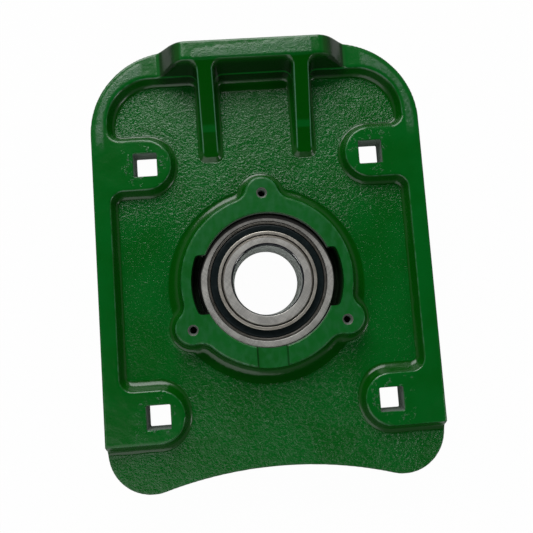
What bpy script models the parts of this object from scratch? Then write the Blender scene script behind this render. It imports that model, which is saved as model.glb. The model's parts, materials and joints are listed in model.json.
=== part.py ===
"""Housed bearing unit: a cast iron plate housing with a sealed self-aligning ball bearing insert.

The origin is where the bearing axis meets the mounting face, the flat back of the plate. +Z runs
along the bearing axis out of the front and +Y points to the tall flange. All lengths are in metres.
"""
import math

import bmesh
import bpy
from mathutils import Vector

MM = 0.001

# Shared clearance: seated pieces stay this far apart, as separate castings, pressings and balls do.
SEAT_GAP = 0.3 * MM

# Bearing insert, from its spherical outside inwards to the shaft bore
SPHERE_DIAMETER = 85.0 * MM
OUTER_WIDTH = 30.2 * MM
RING_FACE = 3.627 * MM         # outer ring's face, from its spherical side to its seal pocket
SEAL_POCKET_STEP = 1.5 * MM    # seal pocket's wall to the outer ring's land
OUTER_SHOULDER = 3.6 * MM      # outer ring's land to the ball circle
INNER_SHOULDER = 4.0 * MM      # ball circle to the inner ring's land
INNER_WALL = 6.35 * MM         # inner ring's land to its bore, which comes to 41.3 mm
INNER_STANDOUT = 3.15 * MM     # inner ring's ends beyond the outer ring's
BALL_DIAMETER = 12.7 * MM
RING_CHAMFER = 0.9 * MM
RIM_CHAMFER = 0.5 * MM

# Cage: two pressed ribbons riveted together between the balls
CAGE_SHEET = 1.0 * MM
CAGE_PLAY = 0.45 * MM          # cage pocket's radius beyond the ball's
CAGE_BAND = 3.8 * MM
CAGE_BRIDGE = 5.8 * MM         # least flat between two balls, which takes a rivet
RIVET_SHANK = 1.8 * MM
RIVET_HEAD = 3.8 * MM
RIVET_CROWN = 2.3 * MM         # flat on top of a rivet's head
RIVET_HEAD_HEIGHT = 0.8 * MM

# Seal at each end: steel case, rubber lip, and flinger on the inner ring
SEAL_POCKET_DEPTH = 4.6 * MM
CASE_WALL = 1.4 * MM
CASE_WEB = 0.8 * MM
CASE_SETBACK = 0.6 * MM
CASE_REACH = 3.4 * MM
LIP_THICKNESS = 2.1 * MM
FLINGER_SHEET = 1.1 * MM
FLINGER_FLANGE = 1.3 * MM
FLINGER_ROUND = 0.3 * MM
FLINGER_SETBACK = 1.1 * MM

# Housing plate
PLATE_WIDTH = 204.0 * MM
PLATE_TOP = 147.0 * MM         # bearing axis to the flange's outer face
ARCH_DROP = 111.6 * MM         # bearing axis to the top of the shallow arch at the foot
ARCH_RADIUS = 250.0 * MM
TOP_CORNER_RADIUS = 51.0 * MM
FOOT_CORNER_RADIUS = 26.0 * MM
FLOOR_THICKNESS = 7.0 * MM
PAD_THICKNESS = 13.6 * MM
RIM_WIDTH = 10.3 * MM
POCKET_CORNER_RADIUS = 28.0 * MM

# Tall flange at the top and its two gusset ribs
FLANGE_HEIGHT = 26.5 * MM
FLANGE_ROOT = 16.6 * MM        # flange thickness at the level of the pads
FLANGE_DRAFT = 5.4 * MM        # how far its inner face leans back between pad level and its crest
FLANGE_CREST = 91.0 * MM
FLANGE_SHOULDER = 12.0 * MM    # run of each sloping shoulder
SHOULDER_TOP_RADIUS = 12.0 * MM
SHOULDER_FOOT_RADIUS = 7.0 * MM
RIB_SPACING = 58.8 * MM
RIB_THICKNESS = 9.2 * MM
RIB_FOOT = 79.8 * MM           # bearing axis to the low end of a rib
RIB_CREST_DROP = 1.5 * MM      # top of a rib below the flange's crest
RIB_END_HEIGHT = 8.6 * MM      # height of the low end of a rib's sloping top
RIB_TOP_RADIUS = 8.0 * MM
RIB_CORNER_RADIUS = 1.6 * MM
RIB_FILLET = 2.8 * MM
RIB_DRAFT = 0.4 * MM

# Bolt pads with square holes
BOLT_INSET = 32.15 * MM        # bolt hole's centre to the plate's side, for 139.7 mm between centres
BOLT_SPACING_Y = 152.4 * MM
BOLT_SQUARE = 14.3 * MM
BOLT_CORNER_RADIUS = 0.8 * MM
PAD_RADIUS = 16.0 * MM
PAD_FILLET = 7.8 * MM
PAD_EDGE = 0.8 * MM
RIM_DRAFT = 0.9 * MM
RIM_FILLET = 3.6 * MM

# Hub with its spherical seat
HUB_HEIGHT = 20.0 * MM
FACE_RECESS = 2.7 * MM         # outer ring's face below the hub's face
SEAT_UNDERCUT = 1.1 * MM       # sphere radius less the radius of the hub's opening
SEAT_LIP = 2.4 * MM
HUB_WALL = 5.8 * MM
HUB_FILLET = 5.4 * MM
HUB_DRAFT = 1.2 * MM
HUB_EDGE = 0.6 * MM
BOSS_WALL = 4.6 * MM
BOSS_DRAFT = 0.8 * MM
MOUTH_CHAMFER = 0.8 * MM
SLOT_CLEARANCE = 2.8 * MM      # loading slot beyond the sphere
SLOT_SIDE_CLEARANCE = 1.4 * MM
SLOT_CORNER_RADIUS = 2.6 * MM
SLOT_FLOOR_DROP = 1.0 * MM     # slot floor below the middle of the sphere
FLAT_WIDTH = 17.0 * MM
FLAT_DEPTH = 1.4 * MM

# Three tapped lobes for the cover screws
SCREW_COUNT = 3
SCREW_OUTSET = 1.9 * MM        # screw circle beyond the hub's edge
SCREW_LOBE_RADIUS = 9.4 * MM
LOBE_BLEND_RADIUS = 10.0 * MM
SCREW_HOLE = 5.0 * MM
SCREW_DEPTH = 14.0 * MM
SCREW_CHAMFER = 0.9 * MM

# Sizes that follow
BEARING_Z = HUB_HEIGHT - FACE_RECESS - OUTER_WIDTH / 2
SPHERE_RADIUS = SPHERE_DIAMETER / 2
INNER_WIDTH = OUTER_WIDTH + 2 * INNER_STANDOUT
FACE_RADIUS = math.sqrt(SPHERE_RADIUS ** 2 - (OUTER_WIDTH / 2) ** 2)
POCKET_WALL = FACE_RADIUS - RING_FACE
OUTER_LAND = POCKET_WALL - SEAL_POCKET_STEP
BALL_CIRCLE_RADIUS = OUTER_LAND - OUTER_SHOULDER
INNER_LAND = BALL_CIRCLE_RADIUS - INNER_SHOULDER
BORE_RADIUS = INNER_LAND - INNER_WALL
SEAT_RADIUS = SPHERE_RADIUS + SEAT_GAP
MOUTH_RADIUS = SPHERE_RADIUS - SEAT_UNDERCUT
SEAT_HALF_HEIGHT = math.sqrt(SEAT_RADIUS ** 2 - MOUTH_RADIUS ** 2)
BOSS_BACK = BEARING_Z - SEAT_HALF_HEIGHT - SEAT_LIP
SLOT_RADIUS = SPHERE_RADIUS + SLOT_CLEARANCE
HUB_RADIUS = SLOT_RADIUS + HUB_WALL
SCREW_CIRCLE_RADIUS = HUB_RADIUS + SCREW_OUTSET
BALL_RADIUS = BALL_DIAMETER / 2
GROOVE_RADIUS = BALL_RADIUS + SEAT_GAP
CAGE_ARCH = BALL_RADIUS + CAGE_PLAY + CAGE_SHEET
BALL_COUNT = int(2 * math.pi * BALL_CIRCLE_RADIUS / (2 * CAGE_ARCH + CAGE_BRIDGE))
POCKET_FLOOR = OUTER_WIDTH / 2 - SEAL_POCKET_DEPTH
BOLT_SPACING_X = PLATE_WIDTH - 2 * BOLT_INSET

# Facets, and how far cutting solids reach past what they cut
RING_STEPS = 40
SEAT_STEPS = 56
SEAL_STEPS = 32
SEAT_ARC_STEPS = 5
GROOVE_ARC_STEPS = 6
BALL_SEGMENTS = 12
BALL_RINGS = 8
CAGE_ARCH_STEPS = 6
RIVET_STEPS = 6
HOLE_STEPS = 12
FILLET_STEPS = 3
LOBE_STEPS = 4
BLEND_STEPS = 3
HUB_SIDE_STEPS = 5
SHARP_ANGLE = math.radians(35)
CHORD_ERROR = 0.14 * MM
BLUNTEST = 0.3                 # most of a small arc's radius that a facet may cut off
CUT_OVER = 2.0 * MM
ROUND_END = 0.999              # keeps the two arcs of a round pad end just apart

for old in list(bpy.data.objects):
    bpy.data.objects.remove(old, do_unlink=True)
parts = bpy.data.collections.new("housed_bearing_unit")
cutters = bpy.data.collections.new("cutters")
bpy.context.scene.collection.children.link(parts)
bpy.context.scene.collection.children.link(cutters)


def material(name, color, metallic, roughness):
    """A Principled surface in one colour."""
    mat = bpy.data.materials.new(name)
    mat.use_nodes = True
    shader = mat.node_tree.nodes["Principled BSDF"]
    shader.inputs["Base Color"].default_value = (*color, 1.0)
    shader.inputs["Metallic"].default_value = metallic
    shader.inputs["Roughness"].default_value = roughness
    return mat


def add_object(name, mesh, mat=None, parent=None, location=(0, 0, 0)):
    """Put a mesh in the part's collection, or in the cutters' collection if it has no material."""
    obj = bpy.data.objects.new(name, mesh)
    obj.location = location
    if mat is None:
        cutters.objects.link(obj)
        obj.hide_render = True
        obj.display_type = "WIRE"
    else:
        parts.objects.link(obj)
        mesh.materials.append(mat)
    if parent is not None:
        obj.parent = parent
    return obj


def finish_mesh(bm, name):
    """Turn faces outward and hand the bmesh over as a mesh."""
    bmesh.ops.recalc_face_normals(bm, faces=bm.faces)
    mesh = bpy.data.meshes.new(name)
    bm.to_mesh(mesh)
    bm.free()
    return mesh


def rounded_outline(corners):
    """Closed outline of straight sides, each (x, y, radius) corner turned by an arc of that radius. An
    arc has as many sides as keep it within CHORD_ERROR of the true curve."""
    points = []
    count = len(corners)
    for i, (x, y, radius) in enumerate(corners):
        here = Vector((x, y))
        before = (here - Vector(corners[i - 1][:2])).normalized()
        after = (Vector(corners[(i + 1) % count][:2]) - here).normalized()
        if radius == 0:
            points.append(here)
            continue
        turn = math.atan2(before.cross(after), before.dot(after))
        side = math.copysign(1.0, turn)
        inward = Vector((-before.y, before.x)) * side
        tangent = radius * math.tan(abs(turn) / 2)
        center = here - before * tangent + inward * radius
        start = math.atan2(-inward.y, -inward.x)
        widest = 2 * math.acos(1 - min(BLUNTEST, CHORD_ERROR / radius))
        steps = max(2, math.ceil(abs(turn) / widest))
        for k in range(steps + 1):
            angle = start + turn * k / steps
            points.append(center + radius * Vector((math.cos(angle), math.sin(angle))))
    return [p for i, p in enumerate(points) if (p - points[i - 1]).length > CHORD_ERROR / 10]


def stepped_solid(name, outline, base, steps, plane="XY", mat=None):
    """Solid raised from a flat outline: each step is (inset of the outline, height reached)."""
    bm = bmesh.new()
    places = {"XY": lambda p: (p.x, p.y, base),
              "XZ": lambda p: (p.x, base, p.y),
              "YZ": lambda p: (base, p.x, p.y)}
    lift = {"XY": Vector((0, 0, 1)), "XZ": Vector((0, 1, 0)), "YZ": Vector((1, 0, 0))}[plane]
    face = bm.faces.new([bm.verts.new(places[plane](p)) for p in outline])
    level = base
    for inset, height in steps:
        if inset == 0:
            raised = bmesh.ops.extrude_face_region(bm, geom=[face])["geom"]
            corners = [g for g in raised if isinstance(g, bmesh.types.BMVert)]
            face = next(g for g in raised if isinstance(g, bmesh.types.BMFace))
        else:
            bmesh.ops.inset_region(bm, faces=[face], thickness=inset, use_even_offset=True)
            corners = list(face.verts)
        bmesh.ops.translate(bm, verts=corners, vec=lift * (height - level))
        level = height
    return add_object(name, finish_mesh(bm, name), mat)


def turned(name, profile, steps, mat=None, parent=None, location=(0, 0, 0)):
    """Solid of revolution about Z. The (radius, height) profile runs down its outer side and closes on
    itself, or runs from the axis at the top to the axis at the bottom."""
    mesh = bpy.data.meshes.new(name)
    count = len(profile)
    edges = [(i, i + 1) for i in range(count - 1)]
    if profile[0][0] > 0:
        edges.append((count - 1, 0))
    mesh.from_pydata([(r, 0, z) for r, z in profile], edges, [])
    obj = add_object(name, mesh, mat, parent, location)
    screw = obj.modifiers.new("turn", "SCREW")
    screw.axis = "Z"
    screw.angle = 2 * math.pi
    screw.steps = steps
    screw.render_steps = steps
    screw.use_merge_vertices = True
    screw.merge_threshold = 0.00001
    return obj


def combine(target, tool, operation):
    """Boolean of the target with one tool."""
    modifier = target.modifiers.new(tool.name, "BOOLEAN")
    modifier.operation = operation
    modifier.solver = "EXACT"
    modifier.object = tool


def arc(center, radius, start, end, steps):
    """Points on an arc in the (radius, height) plane, angles in degrees."""
    cr, cz = center
    return [(cr + radius * math.cos(math.radians(a)), cz + radius * math.sin(math.radians(a)))
            for a in (start + (end - start) * k / steps for k in range(steps + 1))]


def mirrored_x(right_half):
    """Close a right-hand chain of corners, listed from the bottom up, with its mirror image."""
    return right_half + [(-x, y, r) for x, y, r in reversed(right_half)]


def plate_outline():
    """Tombstone plate: round top corners, straight sides, two foot corners with a shallow arch between."""
    half = PLATE_WIDTH / 2
    lean = math.asin((half - FOOT_CORNER_RADIUS) / (ARCH_RADIUS + FOOT_CORNER_RADIUS))
    peak_y = -ARCH_DROP + ARCH_RADIUS * (1 / math.cos(lean) - 1)
    foot_y = peak_y - half * math.tan(lean)
    chain = [(half, foot_y, FOOT_CORNER_RADIUS), (half, PLATE_TOP, TOP_CORNER_RADIUS)]
    return rounded_outline(mirrored_x(chain) + [(0.0, peak_y, ARCH_RADIUS)])


def pocket_outline(grow):
    """Inner edge of the rim: it runs round the four pads and out over both sides below them."""
    wide = PLATE_WIDTH
    rim = PLATE_WIDTH / 2 - RIM_WIDTH + grow
    pad = PAD_RADIUS - grow
    nose = BOLT_SPACING_X / 2 - pad
    low, high = -BOLT_SPACING_Y / 2, BOLT_SPACING_Y / 2
    chain = [(wide, -2 * ARCH_DROP, 0), (wide, low - pad, 0)]
    chain += [(nose, low - pad, pad * ROUND_END), (nose, low + pad, pad * ROUND_END)]
    chain += [(rim, low + pad, PAD_FILLET + grow), (rim, high - pad, PAD_FILLET + grow)]
    chain += [(nose, high - pad, pad * ROUND_END), (nose, high + pad, pad * ROUND_END)]
    chain.append((rim, high + pad, PAD_FILLET + grow))
    chain.append((rim, PLATE_TOP - FLANGE_ROOT + grow, POCKET_CORNER_RADIUS + grow))
    return rounded_outline(mirrored_x(chain))


def hub_outline(grow):
    """Hub circle with three lobes round the screw holes, each blended in by a hollow arc on both sides."""
    hub = HUB_RADIUS + grow
    round_lobe = SCREW_LOBE_RADIUS + grow
    hollow = LOBE_BLEND_RADIUS - grow
    far = SCREW_CIRCLE_RADIUS
    reach = hub + hollow
    swing = math.acos((reach ** 2 + far ** 2 - (round_lobe + hollow) ** 2) / (2 * reach * far))
    blend = Vector((reach * math.cos(swing), reach * math.sin(swing)))
    lobe_end = math.atan2(blend.y, blend.x - far)
    half = []
    for k in range(LOBE_STEPS + 1):
        a = lobe_end * k / LOBE_STEPS
        half.append(Vector((far + round_lobe * math.cos(a), round_lobe * math.sin(a))))
    for k in range(1, BLEND_STEPS + 1):
        a = lobe_end + math.pi - (lobe_end - swing) * k / BLEND_STEPS
        half.append(blend + hollow * Vector((math.cos(a), math.sin(a))))
    sector = math.pi / SCREW_COUNT
    for k in range(1, HUB_SIDE_STEPS + 1):
        a = swing + (sector - swing) * k / HUB_SIDE_STEPS
        half.append(hub * Vector((math.cos(a), math.sin(a))))
    mirrored = [Vector((p.x, -p.y)) for p in reversed(half[1:-1])]
    points = []
    for i in range(SCREW_COUNT):
        turn = math.pi / 2 + 2 * sector * i
        cos_t, sin_t = math.cos(turn), math.sin(turn)
        for p in mirrored + half:
            points.append(Vector((p.x * cos_t - p.y * sin_t, p.x * sin_t + p.y * cos_t)))
    return points


def rib_outline(grow):
    """Plan of one gusset rib at its foot, a bar that starts inside the flange."""
    half = RIB_THICKNESS / 2 + grow
    low = RIB_FOOT - grow
    high = PLATE_TOP - FLANGE_ROOT / 3
    turn = RIB_CORNER_RADIUS + grow
    return rounded_outline([(half, low, turn), (half, high, 0), (-half, high, 0), (-half, low, turn)])


def rise_from_floor(fillet, draft, top, edge):
    """Steps of a raised form: hollow fillet at the floor, drafted wall, and a broken top edge."""
    start = FLOOR_THICKNESS
    steps = [(0, start)]
    last_in, last_up = 0.0, 0.0
    for k in range(1, FILLET_STEPS + 1):
        a = math.pi / 2 * k / FILLET_STEPS
        inset, up = fillet * math.sin(a), fillet * (1 - math.cos(a))
        steps.append((inset - last_in, start + up))
        last_in, last_up = inset, up
    steps.append((draft, top - edge))
    steps.append((edge, top))
    return steps


def plate_body(mat):
    """Plate with rim, pads and flange: the full outline, cut down to pad level beside the flange and
    below it, and with the pocket sunk to the floor inside the rim."""
    over = FLANGE_HEIGHT + CUT_OVER
    body = stepped_solid("housing", plate_outline(), 0.0, [(0, FLANGE_HEIGHT + CUT_OVER / 2)], mat=mat)
    deep = 2 * PLATE_TOP
    near, far = FLANGE_CREST / 2, FLANGE_CREST / 2 + FLANGE_SHOULDER
    skyline = [(deep, PAD_THICKNESS, 0), (deep, over, 0), (-deep, over, 0), (-deep, PAD_THICKNESS, 0)]
    skyline += [(-far, PAD_THICKNESS, SHOULDER_FOOT_RADIUS), (-near, FLANGE_HEIGHT, SHOULDER_TOP_RADIUS)]
    skyline += [(near, FLANGE_HEIGHT, SHOULDER_TOP_RADIUS), (far, PAD_THICKNESS, SHOULDER_FOOT_RADIUS)]
    cut = stepped_solid("skyline_cut", rounded_outline(skyline), -deep, [(0, deep)], plane="XZ")
    combine(body, cut, "DIFFERENCE")
    above_pads = BOLT_SPACING_Y / 2 + PAD_RADIUS + PAD_FILLET
    level = [(deep, -deep, 0), (deep, above_pads, 0), (-deep, above_pads, 0), (-deep, -deep, 0)]
    cut = stepped_solid("level_cut", rounded_outline(level), PAD_THICKNESS, [(0, over)])
    combine(body, cut, "DIFFERENCE")
    grow = FLANGE_DRAFT
    steps = [(0, over), (grow - PAD_EDGE, PAD_THICKNESS), (PAD_EDGE, PAD_THICKNESS - PAD_EDGE)]
    steps.append((RIM_DRAFT, FLOOR_THICKNESS + RIM_FILLET))
    last_in = 0.0
    for k in range(1, FILLET_STEPS + 1):
        a = math.pi / 2 * k / FILLET_STEPS
        inset = RIM_FILLET * (1 - math.cos(a))
        steps.append((inset - last_in, FLOOR_THICKNESS + RIM_FILLET * (1 - math.sin(a))))
        last_in = inset
    pocket = stepped_solid("pocket_cut", pocket_outline(grow), over + CUT_OVER, steps)
    combine(body, pocket, "DIFFERENCE")
    return body


def build_housing(mat):
    """The casting: plate body, hub, ribs and rear boss joined, then seat, slots, flat and holes cut."""
    housing = plate_body(mat)
    inside = FLOOR_THICKNESS / 2
    spread = HUB_FILLET + HUB_DRAFT + HUB_EDGE
    rise = rise_from_floor(HUB_FILLET, HUB_DRAFT, HUB_HEIGHT, HUB_EDGE)
    combine(housing, stepped_solid("hub", hub_outline(spread - HUB_EDGE), inside, rise), "UNION")

    rib_top = FLANGE_HEIGHT - RIB_CREST_DROP
    crest_rise = (rib_top - PAD_THICKNESS) / (FLANGE_HEIGHT - PAD_THICKNESS)
    crest_y = PLATE_TOP - FLANGE_ROOT + FLANGE_DRAFT * crest_rise
    slope = (rib_top - RIB_END_HEIGHT) / (crest_y - RIB_FOOT)
    run_out = 2 * RIB_FILLET
    wedge = [(RIB_FOOT - run_out, RIB_END_HEIGHT - slope * run_out, 0)]
    wedge += [(crest_y, rib_top, RIB_TOP_RADIUS), (crest_y, 2 * FLANGE_HEIGHT, 0)]
    wedge.append((RIB_FOOT - run_out, 2 * FLANGE_HEIGHT, 0))
    slope_cut = stepped_solid("rib_slope_cut", rounded_outline(wedge), -PLATE_WIDTH / 2,
                              [(0, PLATE_WIDTH / 2)], plane="YZ")
    rise = rise_from_floor(RIB_FILLET, RIB_DRAFT, rib_top, RIB_DRAFT)
    for side in (-1, 1):
        center = side * RIB_SPACING / 2
        plan = [Vector((p.x + center, p.y)) for p in rib_outline(RIB_FILLET)]
        rib = stepped_solid(f"rib_{'left' if side < 0 else 'right'}", plan, inside, rise)
        combine(rib, slope_cut, "DIFFERENCE")
        combine(housing, rib, "UNION")

    boss = SLOT_RADIUS + BOSS_WALL
    profile = [(boss + BOSS_DRAFT, inside), (boss, BOSS_BACK + MOUTH_CHAMFER)]
    profile += [(boss - MOUTH_CHAMFER, BOSS_BACK), (MOUTH_RADIUS / 2, BOSS_BACK)]
    profile.append((MOUTH_RADIUS / 2, inside))
    combine(housing, turned("rear_boss", profile, SEAT_STEPS), "UNION")

    top = HUB_HEIGHT + CUT_OVER
    mouth = [(0, top), (MOUTH_RADIUS + MOUTH_CHAMFER + CUT_OVER, top)]
    mouth.append((MOUTH_RADIUS, HUB_HEIGHT - MOUTH_CHAMFER))
    lean = math.degrees(math.acos(MOUTH_RADIUS / SEAT_RADIUS))
    seat = arc((0, BEARING_Z), SEAT_RADIUS, lean, -lean, SEAT_ARC_STEPS)
    back = [(MOUTH_RADIUS, BOSS_BACK + MOUTH_CHAMFER)]
    back += [(MOUTH_RADIUS + MOUTH_CHAMFER + CUT_OVER, BOSS_BACK - CUT_OVER), (0, BOSS_BACK - CUT_OVER)]
    combine(housing, turned("seat_cut", mouth + seat + back, SEAT_STEPS), "DIFFERENCE")

    half = OUTER_WIDTH / 2 + SLOT_SIDE_CLEARANCE
    swing = math.asin(half / SLOT_RADIUS)
    start = math.sqrt(MOUTH_RADIUS ** 2 - half ** 2) - CUT_OVER
    for side in (-1, 1):
        corners = [(side * start, -side * half, 0)]
        corners.append((side * SLOT_RADIUS * math.cos(swing), -side * half, SLOT_CORNER_RADIUS))
        for turn in (-swing / 2, 0, swing / 2):
            corners.append((side * SLOT_RADIUS * math.cos(turn), side * SLOT_RADIUS * math.sin(turn), 0))
        corners.append((side * SLOT_RADIUS * math.cos(swing), side * half, SLOT_CORNER_RADIUS))
        corners.append((side * start, side * half, 0))
        slot = stepped_solid(f"slot_cut_{'left' if side < 0 else 'right'}", rounded_outline(corners),
                             BEARING_Z - SLOT_FLOOR_DROP, [(0, top)])
        combine(housing, slot, "DIFFERENCE")

    wide = FLAT_WIDTH / 2
    outer, inner = -HUB_RADIUS - CUT_OVER, -MOUTH_RADIUS / 2
    strip = [(wide, outer, 0), (wide, inner, 0), (-wide, inner, 0), (-wide, outer, 0)]
    flat = stepped_solid("flat_cut", rounded_outline(strip), HUB_HEIGHT - FLAT_DEPTH, [(0, top)])
    combine(housing, flat, "DIFFERENCE")

    square = BOLT_SQUARE / 2
    for sx in (-1, 1):
        for sy in (-1, 1):
            cx, cy = sx * BOLT_SPACING_X / 2, sy * BOLT_SPACING_Y / 2
            ring = [(cx + square, cy - square), (cx + square, cy + square)]
            ring += [(cx - square, cy + square), (cx - square, cy - square)]
            outline = rounded_outline([(x, y, BOLT_CORNER_RADIUS) for x, y in ring])
            hole = stepped_solid("bolt_cut", outline, -CUT_OVER, [(0, PAD_THICKNESS + CUT_OVER)])
            combine(housing, hole, "DIFFERENCE")

    for i in range(SCREW_COUNT):
        a = math.pi / 2 + 2 * math.pi * i / SCREW_COUNT
        place = (SCREW_CIRCLE_RADIUS * math.cos(a), SCREW_CIRCLE_RADIUS * math.sin(a), HUB_HEIGHT)
        radius = SCREW_HOLE / 2
        wall = [(0, CUT_OVER), (radius + SCREW_CHAMFER + CUT_OVER, CUT_OVER), (radius, -SCREW_CHAMFER)]
        wall += [(radius, -SCREW_DEPTH), (0, -SCREW_DEPTH - radius / 2)]
        combine(housing, turned("screw_cut", wall, HOLE_STEPS, location=place), "DIFFERENCE")
    return housing


def build_outer_ring(mat, parent):
    """Outer ring: spherical outside, seal pocket at each end, deep groove for the balls inside."""
    half = OUTER_WIDTH / 2
    face = FACE_RADIUS - RIM_CHAMFER
    lean = math.degrees(math.asin((half - RIM_CHAMFER) / SPHERE_RADIUS))
    groove = math.degrees(math.acos(OUTER_SHOULDER / GROOVE_RADIUS))
    profile = [(face, half)]
    profile += arc((0, 0), SPHERE_RADIUS, lean, -lean, SEAT_ARC_STEPS)
    profile.append((face, -half))
    profile += [(POCKET_WALL + RIM_CHAMFER, -half), (POCKET_WALL, -half + RIM_CHAMFER)]
    profile += [(POCKET_WALL, -POCKET_FLOOR), (OUTER_LAND, -POCKET_FLOOR)]
    profile += arc((BALL_CIRCLE_RADIUS, 0), GROOVE_RADIUS, -groove, groove, GROOVE_ARC_STEPS)
    profile += [(OUTER_LAND, POCKET_FLOOR), (POCKET_WALL, POCKET_FLOOR)]
    profile += [(POCKET_WALL, half - RIM_CHAMFER), (POCKET_WALL + RIM_CHAMFER, half)]
    return turned("outer_ring", profile, RING_STEPS, mat, parent)


def build_inner_ring(mat, parent):
    """Inner ring: wider than the outer one, with a groove for the balls and a chamfered straight bore."""
    half = INNER_WIDTH / 2
    low = half - RING_CHAMFER
    wide = BORE_RADIUS + RING_CHAMFER
    groove = math.degrees(math.acos(INNER_SHOULDER / GROOVE_RADIUS))
    profile = [(INNER_LAND - RING_CHAMFER, half), (INNER_LAND, low)]
    profile += arc((BALL_CIRCLE_RADIUS, 0), -GROOVE_RADIUS, -groove, groove, GROOVE_ARC_STEPS)
    profile += [(INNER_LAND, -low), (INNER_LAND - RING_CHAMFER, -half)]
    profile += [(wide, -half), (BORE_RADIUS, -low), (BORE_RADIUS, low), (wide, half)]
    return turned("inner_ring", profile, RING_STEPS, mat, parent)


def build_balls(mat, parent):
    """The row of balls in the grooves."""
    for i in range(BALL_COUNT):
        bm = bmesh.new()
        bmesh.ops.create_uvsphere(bm, u_segments=BALL_SEGMENTS, v_segments=BALL_RINGS, radius=BALL_RADIUS)
        a = 2 * math.pi * i / BALL_COUNT
        place = (BALL_CIRCLE_RADIUS * math.cos(a), BALL_CIRCLE_RADIUS * math.sin(a), 0)
        add_object(f"ball_{i + 1}", finish_mesh(bm, "ball"), mat, parent, place)


def pressed_ribbon(name):
    """Half cage: a flat ring of sheet between the balls, arched over each ball."""
    near = BALL_CIRCLE_RADIUS - CAGE_BAND / 2
    far = BALL_CIRCLE_RADIUS + CAGE_BAND / 2
    low, top = SEAT_GAP / 2, SEAT_GAP / 2 + CAGE_SHEET
    pocket = BALL_RADIUS + CAGE_PLAY
    shell = CAGE_ARCH
    arch = [(math.sqrt(pocket ** 2 - low ** 2), low, math.sqrt(shell ** 2 - top ** 2), top)]
    for k in range(1, CAGE_ARCH_STEPS):
        lean = math.pi * (0.5 - k / CAGE_ARCH_STEPS)
        across, up = math.sin(lean), math.cos(lean)
        arch.append((pocket * across, pocket * up, shell * across, shell * up))
    arch.append((-arch[0][0], low, -arch[0][2], top))
    bm = bmesh.new()
    sections = []
    for i in range(BALL_COUNT):
        center = -2 * math.pi * i / BALL_COUNT
        for in_across, in_up, out_across, out_up in arch:
            corners = []
            for radius, across, up in ((near, in_across, in_up), (far, in_across, in_up),
                                       (far, out_across, out_up), (near, out_across, out_up)):
                a = center + math.atan2(across, BALL_CIRCLE_RADIUS)
                corners.append(bm.verts.new((radius * math.cos(a), radius * math.sin(a), up)))
            sections.append(corners)
    for i, here in enumerate(sections):
        back = sections[i - 1]
        for k in range(4):
            bm.faces.new([here[k - 1], here[k], back[k], back[k - 1]])
    return finish_mesh(bm, name)


def build_cage(mat, rivet_mat, parent):
    """Two pressed ribbons, arched half round each ball and riveted together between them."""
    front = add_object("cage_front", pressed_ribbon("cage_front"), mat, parent)
    rear = add_object("cage_rear", pressed_ribbon("cage_rear"), mat, parent)
    rear.rotation_euler = (math.pi, 0, 0)
    shank, head = RIVET_SHANK / 2, RIVET_HEAD / 2
    hole = shank + SEAT_GAP
    seat = SEAT_GAP / 2 + CAGE_SHEET + SEAT_GAP
    crown = seat + RIVET_HEAD_HEIGHT
    drill = [(0, crown), (hole, crown), (hole, -crown), (0, -crown)]
    rivet = [(0, crown), (RIVET_CROWN / 2, crown), (head, seat), (shank, seat)]
    rivet += [(r, -z) for r, z in reversed(rivet)]
    for i in range(BALL_COUNT):
        a = 2 * math.pi * (i + 0.5) / BALL_COUNT
        place = (BALL_CIRCLE_RADIUS * math.cos(a), BALL_CIRCLE_RADIUS * math.sin(a), 0)
        cut = turned("rivet_cut", drill, RIVET_STEPS, parent=parent, location=place)
        combine(front, cut, "DIFFERENCE")
        combine(rear, cut, "DIFFERENCE")
        turned(f"cage_rivet_{i + 1}", rivet, RIVET_STEPS, rivet_mat, parent, place)


def build_seals(case_mat, lip_mat, flinger_mat, outer_parent, inner_parent):
    """Seal set of each end: pressed case in the outer ring, moulded lip in the case, flinger on the inner
    ring with its flange over the lip. The rear set is the front one turned over."""
    case_out = POCKET_WALL - SEAT_GAP
    case_in = case_out - CASE_WALL
    floor = POCKET_FLOOR + SEAT_GAP
    mouth = OUTER_WIDTH / 2 - CASE_SETBACK
    web_in = case_in - CASE_REACH
    case = [(case_out, mouth), (case_out, floor), (web_in, floor), (web_in, floor + CASE_WEB)]
    case += [(case_in, floor + CASE_WEB), (case_in, mouth)]

    tube_in = INNER_LAND + SEAT_GAP
    tube_out = tube_in + FLINGER_SHEET
    end = INNER_WIDTH / 2 - FLINGER_SETBACK
    brim = tube_out + FLINGER_FLANGE
    flinger = [(brim - FLINGER_ROUND, end), (brim, end - FLINGER_SHEET / 2)]
    flinger += [(brim - FLINGER_ROUND, end - FLINGER_SHEET), (tube_out, end - FLINGER_SHEET)]
    flinger += [(tube_out, floor), (tube_in, floor), (tube_in, end - FLINGER_SHEET / 2)]
    flinger.append((tube_in + FLINGER_SHEET / 2, end))

    lip_out = case_in - SEAT_GAP
    lip_in = tube_out + SEAT_GAP
    lip_low = floor + CASE_WEB + SEAT_GAP
    lip_top = lip_low + LIP_THICKNESS
    lip = [(lip_out, lip_top), (lip_out, lip_low), (web_in - SEAT_GAP, lip_low), (web_in - SEAT_GAP, floor)]
    lip += [(lip_in, floor), (lip_in, lip_top)]

    for end_name, turn in (("front", 0.0), ("rear", math.pi)):
        pieces = [turned(f"{end_name}_seal_case", case, SEAL_STEPS, case_mat, outer_parent)]
        pieces.append(turned(f"{end_name}_seal_lip", lip, SEAL_STEPS, lip_mat, outer_parent))
        pieces.append(turned(f"{end_name}_flinger", flinger, SEAL_STEPS, flinger_mat, inner_parent))
        for piece in pieces:
            piece.rotation_euler = (turn, 0, 0)


def pivot(name, parent=None, location=(0, 0, 0)):
    """Empty that carries the pieces of one moving body, on its joint's axis."""
    empty = bpy.data.objects.new(name, None)
    empty.parent = parent
    empty.location = location
    parts.objects.link(empty)
    return empty


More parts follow.
